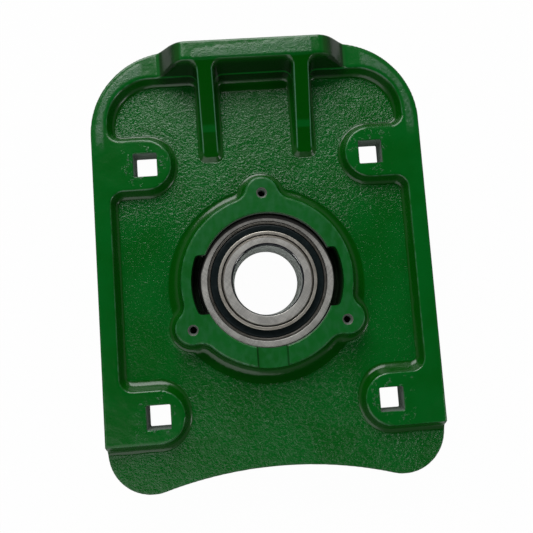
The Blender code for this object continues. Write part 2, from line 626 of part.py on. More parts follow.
painted_iron = material("painted_cast_iron", (0.012, 0.13, 0.032), 0.0, 0.35)
ring_steel = material("ground_ring_steel", (0.42, 0.41, 0.39), 1.0, 0.32)
ball_steel = material("polished_ball_steel", (0.62, 0.62, 0.62), 1.0, 0.12)
cage_steel = material("pressed_cage_steel", (0.45, 0.44, 0.42), 1.0, 0.45)
rivet_steel = material("rivet_steel", (0.50, 0.49, 0.47), 1.0, 0.40)
case_steel = material("seal_case_steel", (0.36, 0.35, 0.33), 1.0, 0.38)
lip_rubber = material("seal_rubber", (0.012, 0.016, 0.020), 0.0, 0.55)
flinger_steel = material("flinger_steel", (0.52, 0.50, 0.47), 1.0, 0.30)

build_housing(painted_iron)
insert_tilt = pivot("insert_tilt", location=(0, 0, BEARING_Z))
inner_spin = pivot("inner_spin", insert_tilt)
cage_spin = pivot("cage_spin", insert_tilt)
build_outer_ring(ring_steel, insert_tilt)
build_inner_ring(ring_steel, inner_spin)
build_balls(ball_steel, cage_spin)
build_cage(cage_steel, rivet_steel, cage_spin)
build_seals(case_steel, lip_rubber, flinger_steel, insert_tilt, inner_spin)

for obj in parts.objects:
    if obj.type == "MESH" and not obj.name.startswith("housing"):
        obj.data.shade_smooth()
        obj.data.set_sharp_from_angle(angle=SHARP_ANGLE)
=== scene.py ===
"""Looks of the housed bearing unit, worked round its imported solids.

The bearing's axis is +Z out of the front, +Y points to the tall flange, and the flat back of the plate
lies at height zero. All lengths are in metres.
"""

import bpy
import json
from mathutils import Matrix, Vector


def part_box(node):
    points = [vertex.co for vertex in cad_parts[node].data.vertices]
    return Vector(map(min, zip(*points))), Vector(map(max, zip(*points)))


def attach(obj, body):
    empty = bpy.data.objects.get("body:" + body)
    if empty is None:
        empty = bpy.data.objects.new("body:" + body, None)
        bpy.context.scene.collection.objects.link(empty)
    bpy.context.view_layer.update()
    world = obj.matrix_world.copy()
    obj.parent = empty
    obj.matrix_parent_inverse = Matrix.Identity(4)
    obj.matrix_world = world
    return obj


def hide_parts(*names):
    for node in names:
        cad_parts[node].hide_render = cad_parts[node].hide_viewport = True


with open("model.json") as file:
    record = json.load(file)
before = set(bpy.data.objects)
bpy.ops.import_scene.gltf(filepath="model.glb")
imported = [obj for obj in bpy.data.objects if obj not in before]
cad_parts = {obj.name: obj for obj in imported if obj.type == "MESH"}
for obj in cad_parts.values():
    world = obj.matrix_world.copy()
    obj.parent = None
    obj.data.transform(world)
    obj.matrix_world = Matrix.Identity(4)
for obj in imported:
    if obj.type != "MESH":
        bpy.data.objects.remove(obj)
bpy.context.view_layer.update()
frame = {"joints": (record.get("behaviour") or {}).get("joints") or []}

import json
import math

import bpy
import numpy as np

# The plate housing is one sand casting in grey iron: a plate with a rim, four bolt pads, a tall flange with
# two gussets, and a lobed hub. The hub's face and its spherical seat are machined and the square bolt holes
# broached. Green gloss paint covers all but the seat and the walls of the holes.
MM = 0.001
HOUSING_LOW, HOUSING_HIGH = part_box("housing")
HALF_WIDTH = HOUSING_HIGH.x
PLATE_TOP = HOUSING_HIGH.y
CREST_HEIGHT = HOUSING_HIGH.z
BOSS_BACK = HOUSING_LOW.z
BEARING_Z = frame["joints"][0]["pos_m"][2]

ARCH_DROP = 111.6 * MM
ARCH_RADIUS = 250.0 * MM
TOP_CORNER = 51.0 * MM
FOOT_CORNER = 26.0 * MM
FLOOR = 7.0 * MM
PAD_HEIGHT = 13.6 * MM
HUB_HEIGHT = 20.0 * MM

RIM_EDGE = HALF_WIDTH - 10.3 * MM
FLANGE_FACE = PLATE_TOP - 16.6 * MM
POCKET_CORNER = 28.0 * MM
RIM_FILLET = 3.6 * MM
RIM_DRAFT = 0.9 * MM
RIM_ROUND = 1.0 * MM
OUTLINE_ROUND = 0.8 * MM
FLANGE_LEAN = 4.8 * MM
CREST_ROUND = 1.1 * MM
CREST_HALF = 45.5 * MM
SHOULDER_RUN = 12.0 * MM
SHOULDER_TOP_ROUND = 12.0 * MM
SHOULDER_FOOT_ROUND = 7.0 * MM

BOLT_X = 69.85 * MM
BOLT_Y = 76.2 * MM
PAD_RADIUS = 16.0 * MM
PAD_FILLET = 7.8 * MM
LOWER_SPREAD = 0.65              # share by which a lower pad's foot stands out further along Y
UPPER_SPREAD = 0.2
SQUARE_HALF = 7.15 * MM
SQUARE_CORNER = 0.8 * MM

RIB_X = 29.4 * MM
RIB_HALF = 4.6 * MM
RIB_FOOT = 79.8 * MM
RIB_CORNER = 1.6 * MM
RIB_FOOT_HEIGHT = 8.6 * MM
RIB_TOP = 26.0 * MM
RIB_FILLET = 4.0 * MM
RIB_DRAFT = 0.5 * MM
RIB_ROUND = 0.9 * MM
RIB_BLEND = 6.0 * MM

HUB_RADIUS = 51.6 * MM
HUB_FILLET = 5.4 * MM
HUB_DRAFT = 1.2 * MM
HUB_ROUND = 0.8 * MM
SCREW_CIRCLE = 53.0 * MM
LOBE_RADIUS = 9.9 * MM
LOBE_HOLLOW = 10.0 * MM
LOBE_LIFT = -0.026             # how far the two lower lobes are cast above their holes, in radians
SCREW_COUNT = 3
SCREW_RADIUS = 2.5 * MM
SCREW_DEPTH = 14.0 * MM
SCREW_CHAMFER = 0.7 * MM
SCREW_PITCH = 0.8 * MM

SEAT_RADIUS = 42.8 * MM
MOUTH_RADIUS = 41.4 * MM
FRONT_MOUTH = 40.5 * MM
FRONT_SHIFT = (0.55 * MM, 0.45 * MM, 0.0)
MOUTH_CHAMFER = 0.8 * MM
BOSS_RADIUS = 49.9 * MM
BOSS_DRAFT = 0.8 * MM
SLOT_RADIUS = 45.6 * MM
SLOT_HALF = 17.8 * MM
SLOT_CORNER = 2.6 * MM
SLOT_FLOOR = BEARING_Z - 1.0 * MM
FLAT_HALF = 8.5 * MM
FLAT_DEPTH = 1.4 * MM
FLAT_SIDE = 0.9 * MM
CUT_OVER = 2.0 * MM             # how far a cutting tool runs out past the metal
HOLE_CHAMFER = 0.5 * MM
THREAD_DEPTH = 0.35 * MM
BORE_TURNS = 160
SCREW_STEPS = 36

GRID_STEP = 0.85 * MM
GRID_MARGIN = 1.5 * MM
ROW_PULL = 0.7
ROW_OUTSET = 0.3 * MM           # rows gather this far outside a form's outline, on its wall
HALVINGS = 20
WAVE_HEIGHT = 0.05 * MM
WAVE_LENGTH = 23.0 * MM
ABSENT = 1.0                  # a distance that no point of the casting comes within
CORNER_STEPS = 8
SHARED = 0.005 * MM           # points this close are one point


def fillet_union(a, b, radius):
    """Two outward distances joined, with a hollow arc of that radius where their outlines meet square:
    the larger of the radius and the nearer distance, less the root of the squared shortfalls."""
    short_a = np.maximum(radius - a, 0)
    short_b = np.maximum(radius - b, 0)
    return np.maximum(radius, np.minimum(a, b)) - np.hypot(short_a, short_b)


def edge_intersection(a, b, radius):
    """Two outward distances where both must hold, with a round of that radius along their shared edge: the
    greater of them held below minus the radius, plus the root of the squared parts above that level."""
    over_a = np.maximum(a + radius, 0)
    over_b = np.maximum(b + radius, 0)
    return np.minimum(np.maximum(a, b), -radius) + np.hypot(over_a, over_b)


def inside_plate(x, y):
    """Distance in from the plate's outline: the nearer of side, top and arched foot, or what a corner's
    radius leaves past the distance to its centre where a point lies in that corner's sector."""
    x = np.abs(x)
    side = HALF_WIDTH - x
    corner_x, corner_y = HALF_WIDTH - TOP_CORNER, PLATE_TOP - TOP_CORNER
    in_corner = (x > corner_x) & (y > corner_y)
    upper = np.where(in_corner, TOP_CORNER - np.hypot(x - corner_x, y - corner_y),
                     np.minimum(side, PLATE_TOP - y))
    foot_x = HALF_WIDTH - FOOT_CORNER
    arch_y = -ARCH_DROP - ARCH_RADIUS
    foot_y = arch_y + math.sqrt((ARCH_RADIUS + FOOT_CORNER) ** 2 - foot_x ** 2)
    right_of_foot = (foot_y - arch_y) * (x - foot_x) > foot_x * (y - foot_y)
    in_foot = (y < foot_y) & right_of_foot
    lower = np.where(in_foot, FOOT_CORNER - np.hypot(x - foot_x, y - foot_y),
                     np.minimum(side, np.hypot(x, y - arch_y) - ARCH_RADIUS))
    return np.where(y > 0, upper, lower)


def beyond_rim(x, y):
    """Distance out from the rim and its four pads: the rim is all that lies past its edge, down to the
    lower pads, and a pad is all within its radius of a line from the bolt hole out to the side."""
    x = np.abs(x)
    rim = np.maximum(RIM_EDGE - x, -BOLT_Y - y)
    pads = np.hypot(np.maximum(BOLT_X - x, 0), np.abs(y) - BOLT_Y) - PAD_RADIUS
    return fillet_union(rim, pads, PAD_FILLET)


def beyond_ribs(x, y):
    """Distance out from the two gussets' bars, whose low ends have small round corners."""
    across = np.abs(np.abs(x) - RIB_X) - RIB_HALF + RIB_CORNER
    along = RIB_FOOT + RIB_CORNER - y
    outside = np.hypot(np.maximum(across, 0), np.maximum(along, 0))
    return outside + np.minimum(np.maximum(across, along), 0) - RIB_CORNER


def beyond_hub(x, y):
    """Distance out from the hub: a circle and three lobes, with a hollow arc between them. The point is
    folded into half of one lobe's sector. In the arc's own sector the distance is what the hollow's
    radius leaves past its centre, and elsewhere it is the nearer circle's."""
    sector = 2 * math.pi / SCREW_COUNT
    angle = np.arctan2(y, x) - math.pi / 2
    angle = angle + LOBE_LIFT * np.where(x > 0, 1, -1) * np.clip((HUB_RADIUS / 2 - y) / HUB_RADIUS, 0, 1)
    angle = np.abs((angle + sector / 2) % sector - sector / 2)
    radius = np.hypot(x, y)
    u, v = radius * np.cos(angle), radius * np.sin(angle)
    reach = HUB_RADIUS + LOBE_HOLLOW
    lobe_reach = LOBE_RADIUS + LOBE_HOLLOW
    cos_swing = (reach ** 2 + SCREW_CIRCLE ** 2 - lobe_reach ** 2) / (2 * reach * SCREW_CIRCLE)
    hollow_u, hollow_v = reach * cos_swing, reach * math.sqrt(1 - cos_swing ** 2)
    below_hub_line = u * hollow_v > v * hollow_u
    left_of_lobe_line = (SCREW_CIRCLE - hollow_u) * (v - hollow_v) < -hollow_v * (u - hollow_u)
    in_hollow = below_hub_line & left_of_lobe_line
    plain = np.minimum(radius - HUB_RADIUS, np.hypot(u - SCREW_CIRCLE, v) - LOBE_RADIUS)
    return np.where(in_hollow, LOBE_HOLLOW - np.hypot(u - hollow_u, v - hollow_v), plain)


def growth(z, top, fillet, draft, edge):
    """How far a form's section at height z stands out past its outline: a hollow quarter arc at the floor,
    then a wall drawn in by the draft, then a quarter round turning in at the top, and nothing above."""
    bend = np.clip(FLOOR + fillet - z, 0, fillet)
    foot = draft + fillet - np.sqrt(fillet ** 2 - bend ** 2)
    wall = draft * (top - edge - z) / (top - edge - FLOOR - fillet)
    turn = np.clip((z - top + edge) / edge, 0, 1)
    crown = -edge * (1 - np.sqrt(1 - turn ** 2))
    out = np.where(z < FLOOR + fillet, foot, np.where(z < top - edge, wall, crown))
    return np.where(z > top, -ABSENT, out)


def soft_least(a, b, radius, slope):
    """The lesser of two heights whose slopes differ by the given one. A parabola about as wide as an arc of
    the radius rounds the bend between them."""
    reach = radius * slope * math.tan(math.atan(slope) / 2)
    near = np.clip(1 - np.abs(a - b) / reach, 0, 1)
    return np.minimum(a, b) - reach * near ** 2 / 4


def casting_height(x, y):
    """Height of the casting's front over (x, y): the highest level whose section still holds the point,
    found by halving. A section is the rim, flange and hub at that level, each grown by its own fillet,
    draft and edge, and the gussets, which are bars under a sloping plane with a fillet to the floor and,
    in plan, to the flange. Last come the cast waves, and the outer edge turned down by a quarter round."""
    rim = beyond_rim(x, y)
    along = (beyond_rim(x, y + GRID_STEP / 8) - beyond_rim(x, y - GRID_STEP / 8)) / (GRID_STEP / 4)
    spread = 1 + along ** 2 * np.where(y < 0, LOWER_SPREAD, UPPER_SPREAD)
    flange = FLANGE_FACE - y
    ribs = beyond_ribs(x, y)
    hub = beyond_hub(x, y)
    fall = (CREST_HEIGHT - PAD_HEIGHT) / SHOULDER_RUN
    shoulder = PAD_HEIGHT + fall * (CREST_HALF + SHOULDER_RUN - np.abs(x))
    skyline = soft_least(shoulder, CREST_HEIGHT, SHOULDER_TOP_ROUND, fall)
    skyline = -soft_least(-skyline, -PAD_HEIGHT, SHOULDER_FOOT_ROUND, fall)
    incline = (RIB_TOP - RIB_FOOT_HEIGHT) / (FLANGE_FACE + FLANGE_LEAN - RIB_FOOT)
    rib_top = np.minimum(RIB_FOOT_HEIGHT + incline * (y - RIB_FOOT), RIB_TOP)
    rib_tilt = math.cos(math.atan(incline))
    low = np.full_like(x, FLOOR)
    high = np.full_like(x, CREST_HEIGHT + MM)
    for _ in range(HALVINGS):
        z = (low + high) / 2
        rise = (z - FLOOR - RIM_FILLET) / (CREST_HEIGHT - FLOOR - RIM_FILLET)
        lean = RIM_DRAFT - (RIM_DRAFT + FLANGE_LEAN) * rise
        stand = growth(z, skyline, RIM_FILLET, 0, CREST_ROUND)
        leaning = np.where(z < FLOOR + RIM_FILLET, stand + RIM_DRAFT, stand + lean)
        foot = growth(z, PAD_HEIGHT, RIM_FILLET, RIM_DRAFT, RIM_ROUND)
        foot = np.where(foot > 0, foot * spread, foot)
        section = fillet_union(rim - foot, flange - leaning, POCKET_CORNER)
        side = ribs - RIB_DRAFT * (RIB_TOP - z) / (RIB_TOP - FLOOR)
        over = (z - rib_top) * rib_tilt
        bar = edge_intersection(side, over, RIB_ROUND)
        joined = edge_intersection(fillet_union(section, side, RIB_BLEND), over, RIB_ROUND)
        section = np.minimum(np.minimum(section, joined), fillet_union(z - FLOOR, bar, RIB_FILLET))
        section = np.minimum(section, hub - growth(z, HUB_HEIGHT, HUB_FILLET, HUB_DRAFT, HUB_ROUND))
        held = section <= 0
        low = np.where(held, z, low)
        high = np.where(held, high, z)
    into_edge = np.clip(OUTLINE_ROUND - inside_plate(x, y), 0, OUTLINE_ROUND)
    turned_down = OUTLINE_ROUND - np.sqrt(OUTLINE_ROUND ** 2 - into_edge ** 2)
    cast = np.clip((HUB_HEIGHT - 2 * HUB_ROUND - low) / HUB_ROUND, 0, 1) + (low > HUB_HEIGHT + MM)
    k = 2 * math.pi / WAVE_LENGTH
    wave = np.sin(k * x + 1.3 * np.sin(0.7 * k * y)) * np.sin(0.9 * k * y + 1.1 * np.sin(0.6 * k * x) + 0.8)
    return np.minimum(low - turned_down + WAVE_HEIGHT * wave * cast, CREST_HEIGHT)


def pull_rows(x, y, distance, reach):
    """Grid points drawn in towards the line where a distance is zero, so that rows lie close on the steep
    walls. The step is ROW_PULL times d times (1 - |d| / reach) squared, along the distance's gradient."""
    h = 0.05 * MM
    d = distance(x, y)
    across = (distance(x + h, y) - distance(x - h, y)) / (2 * h)
    along = (distance(x, y + h) - distance(x, y - h)) / (2 * h)
    step = ROW_PULL * d * np.clip(1 - np.abs(d) / reach, 0, 1) ** 2
    return x - step * across, y - step * along


def new_object(name, points, faces):
    """Object at the origin whose mesh has the given corners and faces."""
    mesh = bpy.data.meshes.new(name)
    mesh.from_pydata(np.asarray(points).tolist(), [], [list(face) for face in faces])
    obj = bpy.data.objects.new(name, mesh)
    bpy.context.scene.collection.objects.link(obj)
    return obj


def grid_faces(rows, columns, wrap_rows=False, wrap_columns=False):
    """Quads of a grid of points, as an array of corner numbers, joined end to end where it wraps."""
    number = np.arange(rows * columns).reshape(rows, columns)
    if wrap_rows:
        number = np.vstack([number, number[:1]])
    if wrap_columns:
        number = np.hstack([number, number[:, :1]])
    corners = [number[:-1, :-1], number[:-1, 1:], number[1:, 1:], number[1:, :-1]]
    return np.stack([c.ravel() for c in corners], axis=1)


def casting_blank():
    """The casting's front as a grid of heights a little larger than the plate, closed by a wall round its
    edge and a flat base below the plate's back."""
    columns = int(2 * (HALF_WIDTH + GRID_MARGIN) / GRID_STEP)
    low_y = HOUSING_LOW.y - GRID_MARGIN
    rows = int((PLATE_TOP + GRID_MARGIN - low_y) / GRID_STEP)
    x, y = np.meshgrid(np.linspace(-HALF_WIDTH - GRID_MARGIN, HALF_WIDTH + GRID_MARGIN, columns),
                       np.linspace(low_y, PLATE_TOP + GRID_MARGIN, rows))
    edge_of_hub = lambda a, b: beyond_hub(a, b) - ROW_OUTSET
    edge_of_rim = lambda a, b: fillet_union(beyond_rim(a, b), FLANGE_FACE - b, POCKET_CORNER) - ROW_OUTSET
    edge_of_crest = lambda a, b: FLANGE_FACE + FLANGE_LEAN - b
    edge_of_plate = lambda a, b: inside_plate(a, b) - OUTLINE_ROUND / 3
    for line, reach in ((edge_of_hub, 6 * MM), (edge_of_rim, 4.2 * MM), (beyond_ribs, 4 * MM),
                        (edge_of_crest, 2.4 * MM), (edge_of_plate, 4 * MM)):
        x, y = pull_rows(x, y, line, reach)
    z = casting_height(x, y)
    front = np.stack([x, y, z], axis=2).reshape(-1, 3)
    number = np.arange(rows * columns).reshape(rows, columns)
    ring = np.concatenate([number[0, :-1], number[:-1, -1], number[-1, :0:-1], number[:0:-1, 0]])
    base = front[ring] * (1, 1, 0) - (0, 0, CUT_OVER)
    under = len(front) + np.arange(len(ring))
    wall = np.stack([ring, under, np.roll(under, -1), np.roll(ring, -1)], axis=1)
    faces = np.vstack([grid_faces(rows, columns), wall]).tolist()
    faces.append(under[::-1].tolist())
    return new_object("casting_blank", np.vstack([front, base]), faces)


def rounded(corners, steps=CORNER_STEPS):
    """Closed outline through (a, b, radius) corners. At a corner the outline follows the arc that touches
    both sides: its centre lies on the bisector, at the radius from each side. Where two arcs meet, the
    point that they share is kept once."""
    points = []
    for i, (a, b, radius) in enumerate(corners):
        here = np.array([a, b])
        if radius == 0:
            points.append(here[None])
            continue
        back = np.array(corners[i - 1][:2]) - here
        ahead = np.array(corners[(i + 1) % len(corners)][:2]) - here
        back, ahead = back / np.linalg.norm(back), ahead / np.linalg.norm(ahead)
        half = math.acos(np.clip(back @ ahead, -1, 1)) / 2
        bisector = (back + ahead) / np.linalg.norm(back + ahead)
        center = here + bisector * radius / math.sin(half)
        start = math.atan2(*(here + back * radius / math.tan(half) - center)[::-1])
        turn = math.copysign(math.pi - 2 * half, ahead[0] * back[1] - ahead[1] * back[0])
        angle = start + turn * np.linspace(0, 1, steps + 1)
        points.append(center + radius * np.stack([np.cos(angle), np.sin(angle)], axis=1))
    points = np.vstack(points)
    gap = np.linalg.norm(points - np.roll(points, 1, axis=0), axis=1)
    return points[gap > SHARED]


def prism(name, outline, levels):
    """Solid between level sections of one outline: each level is (how far it stands out, height), from
    the bottom up, along the outline's own normals."""
    ahead = np.roll(outline, -1, axis=0) - np.roll(outline, 1, axis=0)
    normal = np.stack([ahead[:, 1], -ahead[:, 0]], axis=1)
    normal /= np.linalg.norm(normal, axis=1)[:, None]
    layers = [np.column_stack([outline + normal * out, np.full(len(outline), z)]) for out, z in levels]
    count = len(outline)
    faces = grid_faces(len(levels), count, wrap_columns=True).tolist()
    faces.append(list(range(count))[::-1])
    faces.append(list(range(count * (len(levels) - 1), count * len(levels))))
    return new_object(name, np.vstack(layers), faces)


def turned(name, profile, steps, center=(0, 0, 0)):
    """Surface of revolution about an upright axis: the (radius, height) profile at equal turns. A profile
    that ends on the axis is closed by fans to its end points, and any other joins its own start. It runs
    up its outer side."""
    profile = np.asarray(profile)
    closed = profile[0, 0] > 0
    ring = profile if closed else profile[1:-1]
    angle = np.linspace(0, 2 * math.pi, steps, endpoint=False)
    x = ring[:, 0] * np.cos(angle)[:, None]
    y = ring[:, 0] * np.sin(angle)[:, None]
    z = np.broadcast_to(ring[:, 1], x.shape)
    points = np.stack([x, y, z], axis=2).reshape(-1, 3)
    count = len(ring)
    faces = grid_faces(steps, count, wrap_rows=True, wrap_columns=closed)[:, ::-1].tolist()
    if not closed:
        points = np.vstack([points, [0, 0, profile[0, 1]], [0, 0, profile[-1, 1]]])
        here = np.arange(steps) * count
        ahead = np.roll(here, -1)
        low, top = np.full(steps, steps * count), np.full(steps, steps * count + 1)
        faces += np.stack([low, ahead, here], axis=1).tolist()
        faces += np.stack([top, here + count - 1, ahead + count - 1], axis=1).tolist()
    return new_object(name, points + np.array(center), faces)


def arc(center, radius, start, end, steps):
    """Points along an arc in the (radius, height) plane, from one angle in degrees to another."""
    angle = np.radians(np.linspace(start, end, steps + 1))
    return np.stack([center[0] + radius * np.cos(angle), center[1] + radius * np.sin(angle)], axis=1)


def carve(body, tools):
    """Joins, keeps or takes away each tool in turn, then holds the result as the body's own mesh."""
    for operation, tool in tools:
        modifier = body.modifiers.new(tool.name, "BOOLEAN")
        modifier.operation = operation
        modifier.solver = "MANIFOLD"
        modifier.object = tool
    graph = bpy.context.evaluated_depsgraph_get()
    mesh = bpy.data.meshes.new_from_object(body.evaluated_get(graph))
    body.modifiers.clear()
    body.data = mesh
    for _, tool in tools:
        bpy.data.objects.remove(tool, do_unlink=True)
    return body


def smooth(obj, sharp_degrees):
    """Shades an object smooth, with a crease wherever two faces meet at more than the angle."""
    obj.data.shade_smooth()
    obj.data.set_sharp_from_angle(angle=math.radians(sharp_degrees))
    return obj


def plate_outline():
    """The plate's outline as corners with their radii: two round top corners, two foot corners, and the
    shallow arch between them, whose sides are its tangents."""
    lean = math.asin((HALF_WIDTH - FOOT_CORNER) / (ARCH_RADIUS + FOOT_CORNER))
    peak_y = -ARCH_DROP + ARCH_RADIUS * (1 / math.cos(lean) - 1)
    foot_y = peak_y - HALF_WIDTH * math.tan(lean)
    chain = [(HALF_WIDTH, foot_y, FOOT_CORNER), (HALF_WIDTH, PLATE_TOP, TOP_CORNER)]
    chain += [(-HALF_WIDTH, PLATE_TOP, TOP_CORNER), (-HALF_WIDTH, foot_y, FOOT_CORNER)]
    chain.append((0.0, peak_y, ARCH_RADIUS))
    outline = rounded(chain, 40)
    outline[:, 1] = np.maximum(outline[:, 1], HOUSING_LOW.y)
    return outline


def rear_boss():
    """Round boss behind the plate that carries the back half of the seat."""
    edge = BOSS_RADIUS - MOUTH_CHAMFER
    inner = MOUTH_RADIUS / 2
    corners = [(edge, BOSS_BACK, 0), (BOSS_RADIUS, BOSS_BACK + MOUTH_CHAMFER, 0)]
    corners += [(BOSS_RADIUS + BOSS_DRAFT, 0.2 * MM, 0), (BOSS_RADIUS + BOSS_DRAFT, FLOOR / 2, 0)]
    corners += [(inner, FLOOR / 2, 0), (inner, BOSS_BACK, 0)]
    return turned("rear_boss", rounded(corners), BORE_TURNS)


def seat_cutter():
    """Machined inside: the bearing's spherical seat, with a chamfered mouth at the rear."""
    lean = math.degrees(math.acos(MOUTH_RADIUS / SEAT_RADIUS))
    flare = MOUTH_RADIUS + MOUTH_CHAMFER + CUT_OVER
    profile = [(0, BOSS_BACK - CUT_OVER), (flare, BOSS_BACK - CUT_OVER)]
    profile.append((MOUTH_RADIUS, BOSS_BACK + MOUTH_CHAMFER))
    profile += arc((0, BEARING_Z), SEAT_RADIUS, -lean, 90, 60).tolist()[:-1]
    profile.append((0, BEARING_Z + SEAT_RADIUS))
    return turned("seat_cutter", profile, BORE_TURNS)


def mouth_cutter():
    """Front mouth, bored a little off the seat's centre, with a chamfered edge."""
    edge = HUB_HEIGHT - MOUTH_CHAMFER * 0.6
    flare = FRONT_MOUTH + MOUTH_CHAMFER + CUT_OVER
    profile = [(0, BEARING_Z), (FRONT_MOUTH, BEARING_Z), (FRONT_MOUTH, edge)]
    profile += [(flare, edge + MOUTH_CHAMFER + CUT_OVER), (0, edge + MOUTH_CHAMFER + CUT_OVER)]
    return turned("mouth_cutter", profile, BORE_TURNS, FRONT_SHIFT)


def slot_cutter(side):
    """Loading slot: a straight-sided notch that ends on an arc round the bearing's axis."""
    swing = math.asin(SLOT_HALF / SLOT_RADIUS)
    start = math.sqrt(MOUTH_RADIUS ** 2 - SLOT_HALF ** 2) - CUT_OVER
    corners = [(start, -SLOT_HALF, 0), (SLOT_RADIUS * math.cos(swing), -SLOT_HALF, SLOT_CORNER)]
    for angle in np.linspace(-0.75, 0.75, 9) * swing:
        corners.append((SLOT_RADIUS * math.cos(angle), SLOT_RADIUS * math.sin(angle), 0))
    corners += [(SLOT_RADIUS * math.cos(swing), SLOT_HALF, SLOT_CORNER), (start, SLOT_HALF, 0)]
    outline = rounded([(side * a, side * b, r) for a, b, r in corners])
    return prism("slot_cutter", outline, [(0, SLOT_FLOOR), (0, HUB_HEIGHT + CUT_OVER)])


def flat_cutter():
    """Shallow milled flat across the hub's face at the foot of the mouth."""
    low, high = -HUB_RADIUS - CUT_OVER, -MOUTH_RADIUS / 2
    corners = [(FLAT_HALF, low, 0), (FLAT_HALF, high, 0), (-FLAT_HALF, high, 0), (-FLAT_HALF, low, 0)]
    levels = [(0, HUB_HEIGHT - FLAT_DEPTH), (FLAT_SIDE, HUB_HEIGHT), (FLAT_SIDE, HUB_HEIGHT + CUT_OVER)]
    return prism("flat_cutter", rounded(corners), levels)


def bolt_cutter(x, y):
    """Square hole for a bolt's square neck, with its edges broken at the front."""
    square = [(1, -1), (1, 1), (-1, 1), (-1, -1)]
    corners = [(x + sx * SQUARE_HALF, y + sy * SQUARE_HALF, SQUARE_CORNER) for sx, sy in square]
    levels = [(0, -2 * CUT_OVER), (0, PAD_HEIGHT - HOLE_CHAMFER), (HOLE_CHAMFER, PAD_HEIGHT + 0.1 * MM)]
    levels.append((HOLE_CHAMFER, PAD_HEIGHT + CUT_OVER))
    return prism("bolt_cutter", rounded(corners), levels)


def screw_cutter(turn):
    """Tapped hole in a lobe: chamfered mouth, then thread crests and roots down to the drill's point."""
    place = (SCREW_CIRCLE * math.cos(turn), SCREW_CIRCLE * math.sin(turn), HUB_HEIGHT)
    threads = int((SCREW_DEPTH - SCREW_CHAMFER) / SCREW_PITCH)
    height = -SCREW_DEPTH + SCREW_PITCH / 2 * np.arange(2 * threads)
    radius = SCREW_RADIUS - np.where(np.arange(2 * threads) % 2, THREAD_DEPTH, 0)
    profile = [(0, -SCREW_DEPTH - SCREW_RADIUS)] + list(zip(radius, height))
    profile += [(SCREW_RADIUS, -SCREW_CHAMFER), (SCREW_RADIUS + SCREW_CHAMFER, 0)]
    profile += [(SCREW_RADIUS + SCREW_CHAMFER, CUT_OVER), (0, CUT_OVER)]
    return turned("screw_cutter", profile, SCREW_STEPS, place)


housing = casting_blank()
stock = prism("plate_stock", plate_outline(), [(-0.6 * MM, 0), (0, 0.6 * MM), (0, CREST_HEIGHT + CUT_OVER)])
tools = [("INTERSECT", stock), ("UNION", rear_boss()), ("DIFFERENCE", seat_cutter())]
tools.append(("DIFFERENCE", mouth_cutter()))
tools += [("DIFFERENCE", slot_cutter(side)) for side in (1, -1)]
tools.append(("DIFFERENCE", flat_cutter()))
tools += [("DIFFERENCE", bolt_cutter(sx * BOLT_X, sy * BOLT_Y)) for sx in (-1, 1) for sy in (-1, 1)]
screw_turns = [math.pi / 2 + 2 * math.pi * i / SCREW_COUNT for i in range(SCREW_COUNT)]
tools += [("DIFFERENCE", screw_cutter(turn)) for turn in screw_turns]
carve(housing, tools)
housing.name = "housing_casting"
smooth(housing, 50)


class Field:
    """A number that varies over a surface. Sums on fields add the Math nodes that work them out."""

    def __init__(self, tree, socket):
        self.tree = tree
        self.socket = socket

    def sum(self, operation, items):
        node = self.tree.nodes.new("ShaderNodeMath")
        node.operation = operation
        for socket, item in zip(node.inputs, items):
            if isinstance(item, Field):
                self.tree.links.new(item.socket, socket)
            else:
                socket.default_value = item
        return Field(self.tree, node.outputs[0])

    def __add__(self, other):
        return self.sum("ADD", (self, other))

    def __radd__(self, other):
        return self.sum("ADD", (other, self))

    def __sub__(self, other):
        return self.sum("SUBTRACT", (self, other))

    def __rsub__(self, other):
        return self.sum("SUBTRACT", (other, self))

    def __mul__(self, other):
        return self.sum("MULTIPLY", (self, other))

    def __rmul__(self, other):
        return self.sum("MULTIPLY", (other, self))

    def __truediv__(self, other):
        return self.sum("DIVIDE", (self, other))

    def __abs__(self):
        return self.sum("ABSOLUTE", (self,))

    def least(self, other):
        return self.sum("MINIMUM", (self, other))

    def most(self, other):
        return self.sum("MAXIMUM", (self, other))

    def root(self):
        return self.sum("SQRT", (self,))

    def between(self, level, offsets):
        """1 between the two middle offsets, in millimetres from a level, and 0 past the outer two."""
        a, b, c, d = (level + offset * MM for offset in offsets)
        return self.step(a, b) * self.step(d, c)

    def step(self, low, high):
        """Rises smoothly from 0 to 1 between the two values, or falls if the second is the lower."""
        node = self.tree.nodes.new("ShaderNodeMapRange")
        node.interpolation_type = "SMOOTHSTEP"
        self.tree.links.new(self.socket, node.inputs["Value"])
        node.inputs["From Min"].default_value = min(low, high)
        node.inputs["From Max"].default_value = max(low, high)
        node.inputs["To Min"].default_value = 0.0 if low < high else 1.0
        node.inputs["To Max"].default_value = 1.0 if low < high else 0.0
        return Field(self.tree, node.outputs["Result"])


